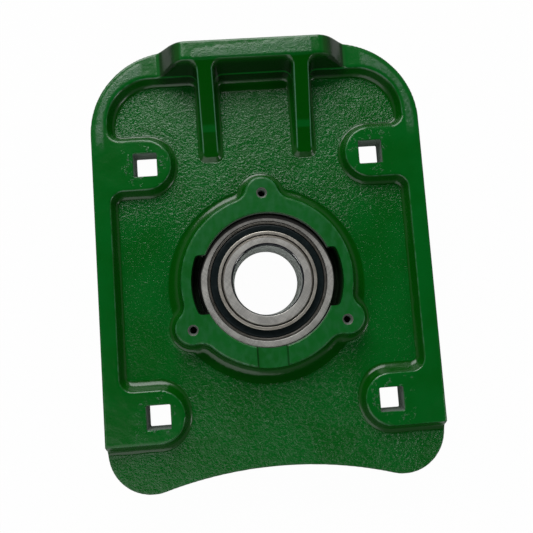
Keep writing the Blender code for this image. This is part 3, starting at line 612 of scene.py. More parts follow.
class Finish:
    """A material's node tree, with its Principled surface and the object's own coordinates."""

    def __init__(self, name, **values):
        self.material = bpy.data.materials.new(name)
        self.material.use_nodes = True
        self.tree = self.material.node_tree
        self.shader = self.tree.nodes["Principled BSDF"]
        for socket, value in values.items():
            self.shader.inputs[socket.replace("_", " ")].default_value = value
        self.place = self.node("ShaderNodeTexCoord", {}, {}).outputs["Object"]
        parts = self.node("ShaderNodeSeparateXYZ", {}, {"Vector": self.place})
        self.x, self.y, self.z = (Field(self.tree, parts.outputs[k]) for k in "XYZ")

    def node(self, kind, settings, inputs):
        """Any other node: its type, its settings, and the value or link of each socket."""
        node = self.tree.nodes.new(kind)
        for key, value in settings.items():
            setattr(node, key, value)
        for key, value in inputs.items():
            socket = next(s for s in node.inputs if key in (s.identifier, s.name) and s.enabled)
            if isinstance(value, Field):
                value = value.socket
            if isinstance(value, bpy.types.NodeSocket):
                self.tree.links.new(value, socket)
            else:
                socket.default_value = value
        return node

    def noise(self, size, detail=2.0, stretch=(1, 1, 1), distortion=0.0, roughness=0.5):
        """Cloudy noise from 0 to 1 whose blots are about as large as the size, in metres."""
        place = self.place
        if stretch != (1, 1, 1):
            scale = tuple(1 / s for s in stretch)
            place = self.node("ShaderNodeMapping", {}, {"Vector": place, "Scale": scale}).outputs[0]
        inputs = {"Vector": place, "Scale": 1 / size, "Detail": detail, "Roughness": roughness}
        inputs["Distortion"] = distortion
        return Field(self.tree, self.node("ShaderNodeTexNoise", {}, inputs).outputs[0])

    def blend(self, factor, first, second):
        """Colour that goes from the first to the second as the factor goes from 0 to 1."""
        colors = [(*c, 1.0) if isinstance(c, tuple) else c for c in (first, second)]
        inputs = {"Factor_Float": factor, "A_Color": colors[0], "B_Color": colors[1]}
        node = self.node("ShaderNodeMix", {"data_type": "RGBA"}, inputs)
        return next(s for s in node.outputs if s.identifier == "Result_Color")

    def bump(self, height, depth):
        """Relief of the given depth in metres for a height field from 0 to 1."""
        inputs = {"Height": height, "Distance": depth, "Strength": 1.0}
        return self.node("ShaderNodeBump", {}, inputs).outputs[0]

    def feed(self, **values):
        for socket, value in values.items():
            if isinstance(value, Field):
                value = value.socket
            self.tree.links.new(value, self.shader.inputs[socket.replace("_", " ")])
        return self.material


PAINT_GREENS = (0.0006, 0.104, 0.0075), (0.0010, 0.120, 0.0120)
WALL_SHADE_GREEN = (0.0003, 0.074, 0.0010)
MACHINED_GREEN = (0.012, 0.135, 0.032)
SHEEN_GREEN = (0.060, 0.160, 0.085)
EDGE_HIGHLIGHT_GREEN = (0.090, 0.250, 0.150)
STEP_SHADE_GREEN = (0.0002, 0.045, 0.001)
SHADE_GREEN = (0.0, 0.004, 0.0)
SLOT_SHADE_GREEN = (0.002, 0.006, 0.003)
IRON_GREYS = (0.12, 0.155, 0.128), (0.26, 0.33, 0.275)
TAPPED_GREY = (0.13, 0.13, 0.12)
PEEL_DEPTH = 0.6 * MM
SKIRT_DROP = 2.0 * MM
PATCH_HALF = 35.5 * MM
PATCH_LOW = 136.8 * MM
PATCH_TOP = 143.6 * MM
PATCH_LEAN = 0.07
PATCH_RAGGED = 5 * MM
LOBE_REACH = 63 * MM


def sheen_areas(paint, on_rim, on_crest):
    """Where a mottled painted sheen lies, on rougher paint: an area on the crest with a ragged upper edge,
    and the rim's two round top corners, away from the outline and from the pocket's edge. Also the distance
    to the corner's centre."""
    x, y, side = paint.x, paint.y, abs(paint.x)
    ragged = y - PATCH_LEAN * x + PATCH_RAGGED * paint.noise(4.0 * MM, detail=3.0)
    crest_band = side.step(PATCH_HALF + 2 * MM, PATCH_HALF) * y.step(PATCH_LOW - 1 * MM, PATCH_LOW)
    crest_band = crest_band * ragged.step(PATCH_TOP + 3.6 * MM, PATCH_TOP)
    corner_x = side - (HALF_WIDTH - TOP_CORNER)
    corner_y = (y - (PLATE_TOP - TOP_CORNER)).most(0.0)
    to_outline = (corner_x * corner_x + corner_y * corner_y).root()
    pocket_x = side - (RIM_EDGE - POCKET_CORNER)
    pocket_y = (y - (FLANGE_FACE - POCKET_CORNER)).most(0.0)
    to_pocket = (pocket_x * pocket_x + pocket_y * pocket_y).root()
    corner_band = to_outline.step(TOP_CORNER - 2.2 * MM, TOP_CORNER - 4.2 * MM) * y.step(84 * MM, 96 * MM)
    corner_band = corner_band * to_pocket.step(POCKET_CORNER + 1.6 * MM, POCKET_CORNER + 3.4 * MM)
    corner_band = corner_band * side.step(67 * MM, 72 * MM) * on_rim
    return corner_band.most(on_crest * crest_band), to_outline


def edge_highlights(paint, radius, to_outline):
    """Where a pale painted highlight lies along an edge: both long edges of a gusset's top, and, fainter,
    the rounds of the hub's face and of the rim."""
    y, z, side = paint.y, paint.z, abs(paint.x)
    along_rib = y.step(RIB_FOOT + 1.5 * MM, RIB_FOOT + 4 * MM)
    along_rib = along_rib * y.step(FLANGE_FACE + 2 * MM, FLANGE_FACE - 1 * MM)
    rib_edge = abs(abs(side - RIB_X) - RIB_HALF + 0.25 * MM).step(0.5 * MM, 0.15 * MM) * along_rib
    rib_edge = rib_edge * z.step(FLOOR + 1.0 * MM, FLOOR + 2.0 * MM)
    hub_crown = z.between(HUB_HEIGHT, (-0.7, -0.4, -0.1, -0.02)) * radius.step(48 * MM, 49 * MM)
    hub_crown = hub_crown * radius.step(LOBE_REACH + 3 * MM, LOBE_REACH + 1 * MM)
    rim_crown = z.between(PAD_HEIGHT, (-0.7, -0.4, -0.2, -0.06))
    rim_crown = rim_crown * side.step(HALF_WIDTH - 1.0 * MM, HALF_WIDTH - 2.0 * MM)
    rim_crown = rim_crown * side.step(CREST_HALF - 0.5 * MM, CREST_HALF + 2.5 * MM)
    rim_crown = rim_crown * to_outline.step(TOP_CORNER - 1.0 * MM, TOP_CORNER - 2.0 * MM)
    return rib_edge, hub_crown.most(0.7 * rim_crown)


def bare_iron(paint, radius, from_bolt):
    """Where the iron is bare: the mouth and seat but not the milled flat, the square holes' walls and the
    tapped holes. Also the mask of the tapped holes alone."""
    x, y, z = paint.x, paint.y, paint.z
    on_milled = abs(x).step(FLAT_HALF + 1.0 * MM, FLAT_HALF + 0.8 * MM) * y.step(0.0, -2 * MM)
    on_milled = on_milled * z.step(HUB_HEIGHT - FLAT_DEPTH - 0.5 * MM, HUB_HEIGHT - FLAT_DEPTH - 0.3 * MM)
    in_mouth = radius.step(MOUTH_RADIUS + 0.25 * MM, MOUTH_RADIUS + 0.1 * MM)
    in_mouth = in_mouth * z.step(HUB_HEIGHT - 0.6 * MM, HUB_HEIGHT - 0.8 * MM) * (1 - on_milled)
    in_seat = radius.step(SEAT_RADIUS + 0.4 * MM, SEAT_RADIUS + 0.2 * MM) * z.step(17 * MM, 16 * MM)
    in_square = from_bolt.step(SQUARE_HALF + 0.35 * MM, SQUARE_HALF + 0.1 * MM)
    in_square = in_square * z.step(PAD_HEIGHT - 0.35 * MM, PAD_HEIGHT - 0.6 * MM)
    tapped = 0.0
    mouth = SCREW_RADIUS + SCREW_CHAMFER
    for turn in screw_turns:
        across, along = x - SCREW_CIRCLE * math.cos(turn), y - SCREW_CIRCLE * math.sin(turn)
        tapped = tapped + (across * across + along * along).root().step(mouth + 0.1 * MM, mouth)
    in_screw = tapped * z.step(HUB_HEIGHT + 0.1 * MM, HUB_HEIGHT - 0.1 * MM)
    return in_mouth.most(in_seat).most(in_square).most(in_screw), tapped


def painted_casting():
    """Green gloss paint over sand-cast iron: worm-like orange peel on the floor, coarser by the foot and
    calm on both sides of the hub, a mottled painted sheen on rougher paint on the crest and the rim's
    top corners, painted highlights along edges and in pale specks, painted shade that deepens the green
    on walls, fillets, bands of floor, slots and creases, and bare iron in the seat, square holes and
    tapped holes."""
    paint = Finish("green_cast_paint", Specular_IOR_Level=0.5)
    x, y, z, side = paint.x, paint.y, paint.z, abs(paint.x)
    radius = (x * x + y * y).root()
    on_hub = z.between(HUB_HEIGHT, (-1.9, -1.5, 0.5, 1.0)) * radius.step(LOBE_REACH + 3 * MM, LOBE_REACH)
    on_rim = z.between(PAD_HEIGHT, (-0.6, -0.2, 0.5, 1.2))
    on_crest = z.step(CREST_HEIGHT - 0.8 * MM, CREST_HEIGHT - 0.4 * MM)
    # The floor round the hub's foot and along the flange's foot between the gussets is kept off the floor,
    # so it loses the peel and takes the deep green of the walls: painted shade.
    lowered = y + SKIRT_DROP
    hub_foot_shade = (x * x + lowered * lowered).root().step(61.5 * MM, 60.0 * MM)
    crest_foot_shadow = side.step(28 * MM, 24 * MM) * y.step(FLANGE_FACE - 10.5 * MM, FLANGE_FACE - 8.0 * MM)
    on_floor = z.between(FLOOR, (-1.2, -0.5, 0.12, 0.3)) * (1 - hub_foot_shade.most(crest_foot_shadow))
    sheen_patch, to_outline = sheen_areas(paint, on_rim, on_crest)
    from_bolt = abs(side - BOLT_X).most(abs(abs(y) - BOLT_Y))
    # Pale specks on the pads round the bolt holes are painted highlights, with some relief of their own.
    speck_zone = paint.noise(7.0 * MM, detail=1.0).step(0.50, 0.62) * from_bolt.step(16 * MM, 8.5 * MM) * on_rim
    highlight_specks = speck_zone * paint.noise(1.3 * MM, detail=2.0, roughness=0.6).step(0.55, 0.66)

    fine = paint.noise(1.6 * MM, detail=2.0, distortion=1.0)
    coarse = paint.noise(2.7 * MM, detail=2.0, distortion=1.6)
    low_down = y.step(-35 * MM, -70 * MM)
    peel = fine * (1 - low_down) + coarse * low_down
    calm = side.step(46 * MM, 60 * MM) * y.between(0.0, (-78, -50, 30, 60))
    sanded = on_floor * (1 - 0.62 * calm)
    lumps = paint.noise(6.0 * MM, detail=2.0)
    grit = paint.noise(0.8 * MM, detail=1.0).step(0.64, 0.76)
    relief = peel * (sanded + 0.4 * sheen_patch + 0.02) + 0.25 * grit * sanded + 0.3 * lumps + 0.5 * highlight_specks
    normal = paint.bump(relief, PEEL_DEPTH)

    mottle = paint.noise(2.6 * MM, detail=4.0, roughness=0.7).step(0.40, 0.62)
    mottled_sheen = sheen_patch * (0.35 + 0.65 * mottle)
    flat = (on_floor + on_hub + on_rim + on_crest).least(1.0)
    shade = paint.noise(28 * MM, detail=2.0).step(0.35, 0.65)
    streak = paint.noise(3.2 * MM, detail=3.0, stretch=(1, 1.8, 1)).step(0.36, 0.68)
    # Walls, fillets and those bands of floor take a deeper green: painted shade.
    green = paint.blend(flat, WALL_SHADE_GREEN, paint.blend(shade, *PAINT_GREENS))
    green = paint.blend(on_hub * (0.1 + 0.7 * streak), green, MACHINED_GREEN)
    # A lighter mottled green on the crest area and the rim's corners is a painted sheen, and on the pale
    # specks a painted highlight.
    green = paint.blend((mottled_sheen * (0.7 - 0.3 * on_crest)).most(highlight_specks * 0.8), green, SHEEN_GREEN)
    # The flange below its crest, off the gussets, is darkened nearly to black: painted shade.
    beside_ribs = abs(side - RIB_X).step(RIB_HALF + 0.2 * MM, RIB_HALF + 1.6 * MM)
    flange_wall = y.step(FLANGE_FACE - 3.0 * MM, FLANGE_FACE - 1.2 * MM) * side.step(66 * MM, 52 * MM)
    flange_wall = flange_wall * z.step(FLOOR + 0.4 * MM, FLOOR + 1.2 * MM)
    flange_wall = flange_wall * z.step(CREST_HEIGHT, CREST_HEIGHT - 5 * MM) * (1 - on_rim)
    green = paint.blend(0.72 * flange_wall * beside_ribs, green, SHADE_GREEN)
    # Pale lines along the gusset edges and the face's and rim's rounds are painted highlights.
    rib_edge, crown_highlight = edge_highlights(paint, radius, to_outline)
    green = paint.blend((0.75 * rib_edge).most(0.5 * crown_highlight * streak), green, EDGE_HIGHLIGHT_GREEN)
    # The milled flat's two sides are darkened: painted shade in the crease.
    flat_crease_shade = abs(side - FLAT_HALF - FLAT_SIDE / 2).step(0.7 * MM, 0.35 * MM) * y.step(0.0, -2 * MM)
    green = paint.blend(0.7 * flat_crease_shade * on_hub, green, STEP_SHADE_GREEN)

    # The loading slots are darkened nearly to black: painted shade in their depth.
    in_slot = radius.step(SLOT_RADIUS + 1.6 * MM, SLOT_RADIUS + 0.8 * MM)
    in_slot = in_slot * z.step(HUB_HEIGHT - 2.5 * MM, HUB_HEIGHT - 5 * MM)
    bare, tapped = bare_iron(paint, radius, from_bolt)
    iron = paint.blend(paint.noise(0.5 * MM, detail=3.0), *IRON_GREYS)
    iron = paint.blend(tapped * z.step(HUB_HEIGHT - 0.9 * MM, HUB_HEIGHT - 0.7 * MM), iron, TAPPED_GREY)
    color = paint.blend(bare, paint.blend(0.7 * in_slot, green, SLOT_SHADE_GREEN), iron)
    roughness = 0.17 + 0.08 * peel + 0.2 * mottled_sheen + 0.25 * bare + 0.3 * in_slot + 0.12 * on_hub
    return paint.feed(Base_Color=color, Roughness=roughness, Metallic=0.4 * bare, Normal=normal)


housing.data.materials.clear()
housing.data.materials.append(painted_casting())
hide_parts("housing")
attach(housing, "housing")

# The outer ring of the insert is through-hardened bearing steel, ground to a sphere outside so that it
# can swivel in the housing, with flat ground faces, a pocket for a seal at each end and a ball groove.
SPHERE_RADIUS = 42.5 * MM
OUTER_HALF = 15.1 * MM
FACE_RADIUS = math.sqrt(SPHERE_RADIUS ** 2 - OUTER_HALF ** 2)
RIM_CHAMFER = 0.3 * MM
POCKET_WALL = 36.1 * MM
POCKET_FLOOR = 10.5 * MM
OUTER_LAND = 34.6 * MM
BALL_CIRCLE = 31.0 * MM
GROOVE_RADIUS = 6.65 * MM
RING_TURNS = 192
BEARING = (0, 0, BEARING_Z)


def outer_ring_profile():
    """Section of the outer ring, up its spherical side and down its inside."""
    lean = math.degrees(math.asin((OUTER_HALF - RIM_CHAMFER) / SPHERE_RADIUS))
    groove = math.degrees(math.acos((OUTER_LAND - BALL_CIRCLE) / GROOVE_RADIUS))
    bottom = [(POCKET_WALL + RIM_CHAMFER, -OUTER_HALF), (FACE_RADIUS - RIM_CHAMFER, -OUTER_HALF)]
    top = [(r, -z) for r, z in reversed(bottom)]
    inside = [(POCKET_WALL, OUTER_HALF - RIM_CHAMFER), (POCKET_WALL, POCKET_FLOOR)]
    inside.append((OUTER_LAND, POCKET_FLOOR))
    below = [(r, -z) for r, z in reversed(inside)]
    sphere = arc((0, 0), SPHERE_RADIUS, -lean, lean, 24)
    race = arc((BALL_CIRCLE, 0), GROOVE_RADIUS, groove, -groove, 20)
    return np.vstack([bottom, sphere, top, inside, race, below])


BORE_RADIUS = 20.65 * MM
BAND_SHIFT = 0.55 * MM            # how far the painted reflection on the bore's edge and the brown band lie off the axis
SHADOW_DROP = 2.1 * MM
SCRATCH_LEANS = (38, -52)
GLINT_ANGLES = (32, 138)
STEEL_TONE = (0.60, 0.59, 0.555)
BORE_TONE = (0.80, 0.84, 0.81)
TOP_SHADE_BROWN = (0.060, 0.055, 0.048)
RIM_SHADOW_BLACK = (0.010, 0.009, 0.009)
COLLAR_BROWN = (0.15, 0.13, 0.105)
GAP_SHADE_BLACK = (0.02, 0.018, 0.015)
SPHERE_SHADE_BLACK = (0.02, 0.02, 0.02)
EDGE_REFLECTION_BLUE = (0.018, 0.020, 0.030)
GLINT_WHITE = (0.9, 0.9, 0.9)


def ground_steel(name, tone):
    """Ground and lightly oiled steel with fine crossing scratches and faint stains. On the outer ring
    painted shade darkens the top of the face and the spherical side, and a painted shadow blackens an arc at
    the face's upper edge. On the inner ring a brown band, wider at the top, and painted shade in the gap lie
    round the face, and the bore's broken edge, under a clear coat, has a dark painted reflection and two
    painted glints."""
    steel = Finish(name, Metallic=0.7, Coat_Roughness=0.06)
    x, y = steel.x, steel.y

    def reach(shift):
        """Distance from the axis moved along Y by the shift."""
        moved = y - shift
        return (x * x + moved * moved).root()

    lines = 0.0
    for lean in SCRATCH_LEANS:
        turn = steel.node("ShaderNodeVectorRotate", {"rotation_type": "Z_AXIS"},
                          {"Vector": steel.place, "Angle": math.radians(lean)}).outputs[0]
        lay = steel.node("ShaderNodeMapping", {}, {"Vector": turn, "Scale": (1, 0.05, 1)}).outputs[0]
        inputs = {"Vector": lay, "Scale": 1700.0, "Detail": 2.0}
        lines = lines + 0.5 * Field(steel.tree, steel.node("ShaderNodeTexNoise", {}, inputs).outputs[0])
    stain = steel.noise(9 * MM, detail=3.0)
    light = tuple(c * 1.1 for c in tone)
    dark = tuple(c * 0.84 for c in tone)
    color = steel.blend((0.6 * lines + 0.4 * stain).step(0.40, 0.60), dark, light)

    radius = reach(0.0)
    # The upper part of the outer ring's face is darkened towards brown, with a ragged edge: painted shade.
    top_shade = radius.step(33 * MM, 34 * MM) * (y + 8 * MM * stain).step(14 * MM, 34 * MM)
    color = steel.blend(0.45 * top_shade, color, TOP_SHADE_BROWN)
    # An arc along the upper edge of the outer ring's face is blackened: painted shadow.
    shadow_arc = reach(-SHADOW_DROP).step(39.5 * MM, 40.0 * MM) * y.step(4 * MM, 12 * MM)
    color = steel.blend(0.93 * shadow_arc, color, RIM_SHADOW_BLACK)
    # A brown band, wider at the top, rings the inner ring's face.
    inner_edge = radius.step(28.0 * MM, 27.6 * MM)
    collar = reach(-BAND_SHIFT).step(26.0 * MM, 26.3 * MM) * inner_edge
    color = steel.blend(0.8 * collar, color, COLLAR_BROWN)
    # The outer edge of the inner ring's chamfer is blackened: painted shade in the gap by the flinger's
    # brim.
    color = steel.blend(radius.step(26.8 * MM, 27.0 * MM) * inner_edge, color, GAP_SHADE_BLACK)
    # The outer ring's spherical side is darkened nearly to black: painted shade.
    side = abs(steel.z - BEARING_Z).step(OUTER_HALF - 0.2 * MM, OUTER_HALF - 0.6 * MM)
    color = steel.blend(0.9 * side * radius.step(38.4 * MM, 39.0 * MM), color, SPHERE_SHADE_BLACK)

    # The bore's broken edge is painted dark blue, wider at the top, under a clear coat: a painted
    # reflection.
    from_edge = reach(BAND_SHIFT)
    edge = from_edge.step(BORE_RADIUS + 1.2 * MM, BORE_RADIUS + 1.0 * MM)
    # Two painted glints lie on that edge.
    glint = 0.0
    for angle in GLINT_ANGLES:
        toward = x * math.cos(math.radians(angle)) + y * math.sin(math.radians(angle))
        glint = glint + (toward / radius).step(0.978, 0.992)
    glint = glint * from_edge.between(BORE_RADIUS, (0.35, 0.5, 0.75, 0.95))
    bore = radius.step(BORE_RADIUS + 0.15 * MM, BORE_RADIUS + 0.05 * MM)
    # This colour under the coat is the painted dark reflection with its painted glints.
    oil = steel.blend(glint, EDGE_REFLECTION_BLUE, GLINT_WHITE)
    color = steel.blend(edge, color, steel.blend(bore, oil, BORE_TONE))
    roughness = 0.46 + 0.1 * (lines - 0.5) + 0.08 * (stain - 0.5) - 0.2 * edge
    return steel.feed(Base_Color=color, Roughness=roughness, Coat_Weight=edge - bore,
                      Normal=steel.bump(lines, 0.008 * MM))


ring_steel = ground_steel("ground_ring_steel", STEEL_TONE)
outer_ring = smooth(turned("outer_ring_steel", outer_ring_profile(), RING_TURNS, BEARING), 30)
outer_ring.data.materials.append(ring_steel)
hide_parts("outer_ring")
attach(outer_ring, "insert")

# The inner ring is the same steel, wider than the outer ring at both ends, with a straight ground bore for
# the shaft and broken edges.
INNER_HALF = 18.25 * MM
INNER_LAND = 27.0 * MM
RING_CHAMFER = 0.9 * MM
BORE_EDGE = 0.8 * MM
BORE_RUN = 1.4 * MM


def inner_ring_profile():
    """Section of the inner ring, up its grooved outside and down its bore."""
    low = INNER_HALF - RING_CHAMFER
    groove = math.degrees(math.acos((BALL_CIRCLE - INNER_LAND) / GROOVE_RADIUS))
    race = arc((BALL_CIRCLE, 0), GROOVE_RADIUS, 180 + groove, 180 - groove, 20)
    half = [(INNER_LAND, low, 0.25 * MM), (INNER_LAND - RING_CHAMFER, INNER_HALF, 0.25 * MM)]
    half += [(BORE_RADIUS + BORE_EDGE, INNER_HALF, 0.3 * MM), (BORE_RADIUS, INNER_HALF - BORE_RUN, 0.5 * MM)]
    other = [(r, -z, radius) for r, z, radius in reversed(half)]
    return rounded([(r, z, 0) for r, z in race] + half + other, 4)


inner_ring = smooth(turned("inner_ring_steel", inner_ring_profile(), RING_TURNS, BEARING), 30)
inner_ring.data.materials.append(ring_steel)
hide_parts("inner_ring")
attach(inner_ring, "shaft_ring")

# Nine polished steel balls run in the grooves of the two rings.
BALL_COUNT = 9
BALL_RADIUS = 6.35 * MM


def ball_steel():
    """Polished steel with a faint cloud of grease on it."""
    steel = Finish("polished_ball_steel", Metallic=1.0, Base_Color=(0.62, 0.62, 0.62, 1.0))
    cloud = steel.noise(2.5 * MM, detail=2.0)
    return steel.feed(Roughness=0.08 + 0.1 * cloud)


polished_steel = ball_steel()
for i in range(BALL_COUNT):
    turn = 2 * math.pi * i / BALL_COUNT
    place = (BALL_CIRCLE * math.cos(turn), BALL_CIRCLE * math.sin(turn), BEARING_Z)
    ball = smooth(turned(f"steel_ball_{i + 1}", arc((0, 0), BALL_RADIUS, -90, 90, 24), 40, place), 60)
    ball.data.materials.append(polished_steel)
    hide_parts(f"ball_{i + 1}")
    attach(ball, "ball_cage")

# The cage is two ribbons pressed from steel strip, arched half round each ball, back to back and held by
# nine rivets between the balls.
CAGE_SHEET = 1.0 * MM
CAGE_POCKET = 6.8 * MM
CAGE_HALF_BAND = 1.9 * MM
SEAT_GAP = 0.3 * MM


def cage_ribbon(name, side):
    """Ribbon as a ring of rectangular sections. Along a pocket the sheet's two faces follow circles of the
    pocket's radius and of that plus the sheet, and between pockets they lie flat."""
    low, top = SEAT_GAP / 2, SEAT_GAP / 2 + CAGE_SHEET
    shell = CAGE_POCKET + CAGE_SHEET
    lean = np.linspace(math.asin(low / CAGE_POCKET), math.pi - math.asin(low / CAGE_POCKET), 25)
    outer_lean = np.linspace(math.asin(top / shell), math.pi - math.asin(top / shell), 25)
    ball = 2 * math.pi * np.arange(BALL_COUNT)[:, None] / BALL_COUNT
    across = (CAGE_POCKET * np.cos(lean), shell * np.cos(outer_lean))
    up = (CAGE_POCKET * np.sin(lean), shell * np.sin(outer_lean))
    corners = []
    for radius, face in ((-1, 0), (1, 0), (1, 1), (-1, 1)):
        radius = BALL_CIRCLE + radius * CAGE_HALF_BAND
        angle = (ball - np.arctan2(across[face], BALL_CIRCLE)).ravel()
        height = np.tile(up[face], BALL_COUNT)
        ring = [radius * np.cos(angle), side * radius * np.sin(angle), side * height]
        corners.append(np.stack(ring, axis=1))
    points = np.stack(corners, axis=1).reshape(-1, 3)
    faces = grid_faces(len(corners[0]), 4, wrap_rows=True, wrap_columns=True)
    return smooth(new_object(name, points + np.array(BEARING), faces.tolist()), 40)


def pressed_steel():
    """Bright strip steel dulled by pressing and grease."""
    steel = Finish("pressed_cage_steel", Metallic=1.0)
    dull = steel.noise(1.5 * MM, detail=4.0, roughness=0.65)
    color = steel.blend(dull.step(0.35, 0.7), (0.50, 0.49, 0.47), (0.34, 0.32, 0.28))
    return steel.feed(Base_Color=color, Roughness=0.34 + 0.3 * dull, Normal=steel.bump(dull, 0.02 * MM))


strip_steel = pressed_steel()
for node, side in (("cage_front", 1), ("cage_rear", -1)):
    ribbon = cage_ribbon(f"{node}_ribbon", side)
    ribbon.data.materials.append(strip_steel)
    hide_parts(node)
    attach(ribbon, "ball_cage")

# A rivet is a short steel pin whose two domed heads clamp the ribbons.
RIVET_SHANK = 0.9 * MM
RIVET_HEAD = 1.9 * MM
RIVET_SEAT = SEAT_GAP / 2 + CAGE_SHEET + SEAT_GAP
RIVET_DOME = 0.8 * MM


def rivet_steel_finish():
    """Steel wire with the dull marks of the heading tool."""
    steel = Finish("rivet_steel", Metallic=1.0, Base_Color=(0.5, 0.49, 0.47, 1.0))
    marks = steel.noise(0.6 * MM, detail=3.0)
    return steel.feed(Roughness=0.28 + 0.25 * marks, Normal=steel.bump(marks, 0.01 * MM))


headed_steel = rivet_steel_finish()
dome = np.radians(np.linspace(0, 90, 9))
crown = np.stack([RIVET_HEAD * np.cos(dome), RIVET_SEAT + RIVET_DOME * np.sin(dome)], axis=1)
rivet_half = np.vstack([[(RIVET_SHANK, RIVET_SEAT)], crown])
rivet_half[-1, 0] = 0
rivet_profile = np.vstack([rivet_half[::-1] * (1, -1), rivet_half])
for i in range(BALL_COUNT):
    turn = 2 * math.pi * (i + 0.5) / BALL_COUNT
    place = (BALL_CIRCLE * math.cos(turn), BALL_CIRCLE * math.sin(turn), BEARING_Z)
    rivet = smooth(turned(f"domed_rivet_{i + 1}", rivet_profile, 24, place), 40)
    rivet.data.materials.append(headed_steel)
    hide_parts(f"cage_rivet_{i + 1}")
    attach(rivet, "ball_cage")

# Each end has a seal set: a case pressed from sheet steel and pushed into the outer ring's pocket, a
# rubber lip moulded in it, and a flinger, a flanged steel collar, pressed on the inner ring.
CASE_OUT = 35.8 * MM
CASE_IN = 34.4 * MM
CASE_MOUTH = 14.5 * MM
SEAL_FLOOR = 10.8 * MM
CASE_WEB = 0.8 * MM
WEB_IN = 31.0 * MM
LIP_OUT = 34.1 * MM
LIP_IN = 28.7 * MM
LIP_TOP = 14.0 * MM
LIP_LOW = 11.9 * MM
TUBE_IN = 27.3 * MM
FLINGER_SHEET = 1.1 * MM
BRIM = 29.7 * MM
BRIM_IN = 27.7 * MM
STEP_LEVEL = 14.2 * MM
FLINGER_END = 17.15 * MM
SEAL_TURNS = 160


def case_profile():
    """Section of the case: a cup wall with a short web turned in at its bottom, and a rolled mouth."""
    corners = [(CASE_OUT, SEAL_FLOOR, 0.5 * MM), (CASE_OUT, CASE_MOUTH, 0.45 * MM)]
    corners += [(CASE_IN, CASE_MOUTH, 0.55 * MM), (CASE_IN, SEAL_FLOOR + CASE_WEB, 0.2 * MM)]
    corners += [(WEB_IN, SEAL_FLOOR + CASE_WEB, 0.2 * MM), (WEB_IN, SEAL_FLOOR, 0.2 * MM)]
    return rounded(corners, 6)


def lip_profile():
    """Section of the lip: a soft face with two low ridges that fills the case and wraps the web's edge."""
    corners = [(LIP_OUT, LIP_LOW, 0.15 * MM), (LIP_OUT, LIP_TOP - 0.3 * MM, 0.2 * MM)]
    corners += [(LIP_OUT - 0.9 * MM, LIP_TOP, 0.5 * MM), (LIP_IN + 1.6 * MM, LIP_TOP, 0.6 * MM)]
    corners += [(LIP_IN, LIP_TOP - 0.5 * MM, 0.3 * MM), (LIP_IN, SEAL_FLOOR, 0.2 * MM)]
    corners += [(WEB_IN - SEAT_GAP, SEAL_FLOOR, 0.1 * MM), (WEB_IN - SEAT_GAP, LIP_LOW, 0.1 * MM)]
    return rounded(corners, 6)


def flinger_profile():
    """Section of the flinger: a tube on the inner ring, opened out in a step and turned into a rounded
    brim, so that a narrow groove stays open between the brim and the ring."""
    tube_out = TUBE_IN + FLINGER_SHEET
    under = FLINGER_END - FLINGER_SHEET
    corners = [(tube_out, SEAL_FLOOR, 0.1 * MM), (tube_out, STEP_LEVEL - 0.8 * MM, 0.2 * MM)]
    corners += [(tube_out + 0.5 * MM, STEP_LEVEL, 0.2 * MM), (tube_out + 0.5 * MM, under, 0.2 * MM)]
    corners += [(BRIM, under, 0.45 * MM), (BRIM, FLINGER_END, 0.5 * MM)]
    corners += [(BRIM_IN, FLINGER_END, 0.4 * MM), (BRIM_IN, STEP_LEVEL, 0.2 * MM)]
    corners += [(TUBE_IN, STEP_LEVEL - 0.8 * MM, 0.2 * MM), (TUBE_IN, SEAL_FLOOR, 0.1 * MM)]
    return rounded(corners, 8)


def seal_rubber():
    """Moulded nitrile rubber, blue-black, with a dusty bloom in patches."""
    rubber = Finish("seal_rubber", Specular_IOR_Level=0.16)
    bloom = rubber.noise(4 * MM, detail=4.0, roughness=0.6)
    color = rubber.blend(bloom.step(0.4, 0.75), (0.004, 0.009, 0.010), (0.008, 0.014, 0.016))
    return rubber.feed(Base_Color=color, Roughness=0.34 + 0.2 * bloom,
                       Normal=rubber.bump(rubber.noise(0.4 * MM, detail=2.0), 0.02 * MM))


def sheet_steel(name, light, dark, roughness):
    """Pressed sheet steel with drawing marks that run round it, and oil stains."""
    steel = Finish(name, Metallic=0.8)
    radius = (steel.x * steel.x + steel.y * steel.y).root()
    inputs = {"W": radius, "Scale": 5200.0, "Detail": 2.0}
    rings = steel.node("ShaderNodeTexNoise", {"noise_dimensions": "1D"}, inputs).outputs[0]
    rings = Field(steel.tree, rings)
    stain = steel.noise(5 * MM, detail=4.0, roughness=0.6)
    color = steel.blend((0.4 * rings + 0.6 * stain).step(0.35, 0.65), dark, light)
    return steel.feed(Base_Color=color, Roughness=roughness + 0.15 * (stain - 0.5),
                      Normal=steel.bump(rings, 0.008 * MM))


case_steel = sheet_steel("seal_case_steel", (0.18, 0.17, 0.155), (0.10, 0.095, 0.08), 0.42)
flinger_steel = sheet_steel("flinger_steel", (0.62, 0.59, 0.53), (0.48, 0.45, 0.39), 0.44)
lip_rubber = seal_rubber()
seal_pieces = [("seal_case", case_profile(), case_steel, "seal_case_steel", "insert"),
               ("seal_lip", lip_profile(), lip_rubber, "seal_rubber", "insert"),
               ("flinger", flinger_profile(), flinger_steel, "flinger_steel", "shaft_ring")]
for end, side in (("front", 1), ("rear", -1)):
    for node, profile, finish, slot, body in seal_pieces:
        section = profile if side > 0 else profile[::-1] * (1, -1)
        piece = smooth(turned(f"{end}_{node}_ring", section, SEAL_TURNS, BEARING), 35)
        piece.data.materials.append(finish)
        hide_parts(f"{end}_{node}")
        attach(piece, body)

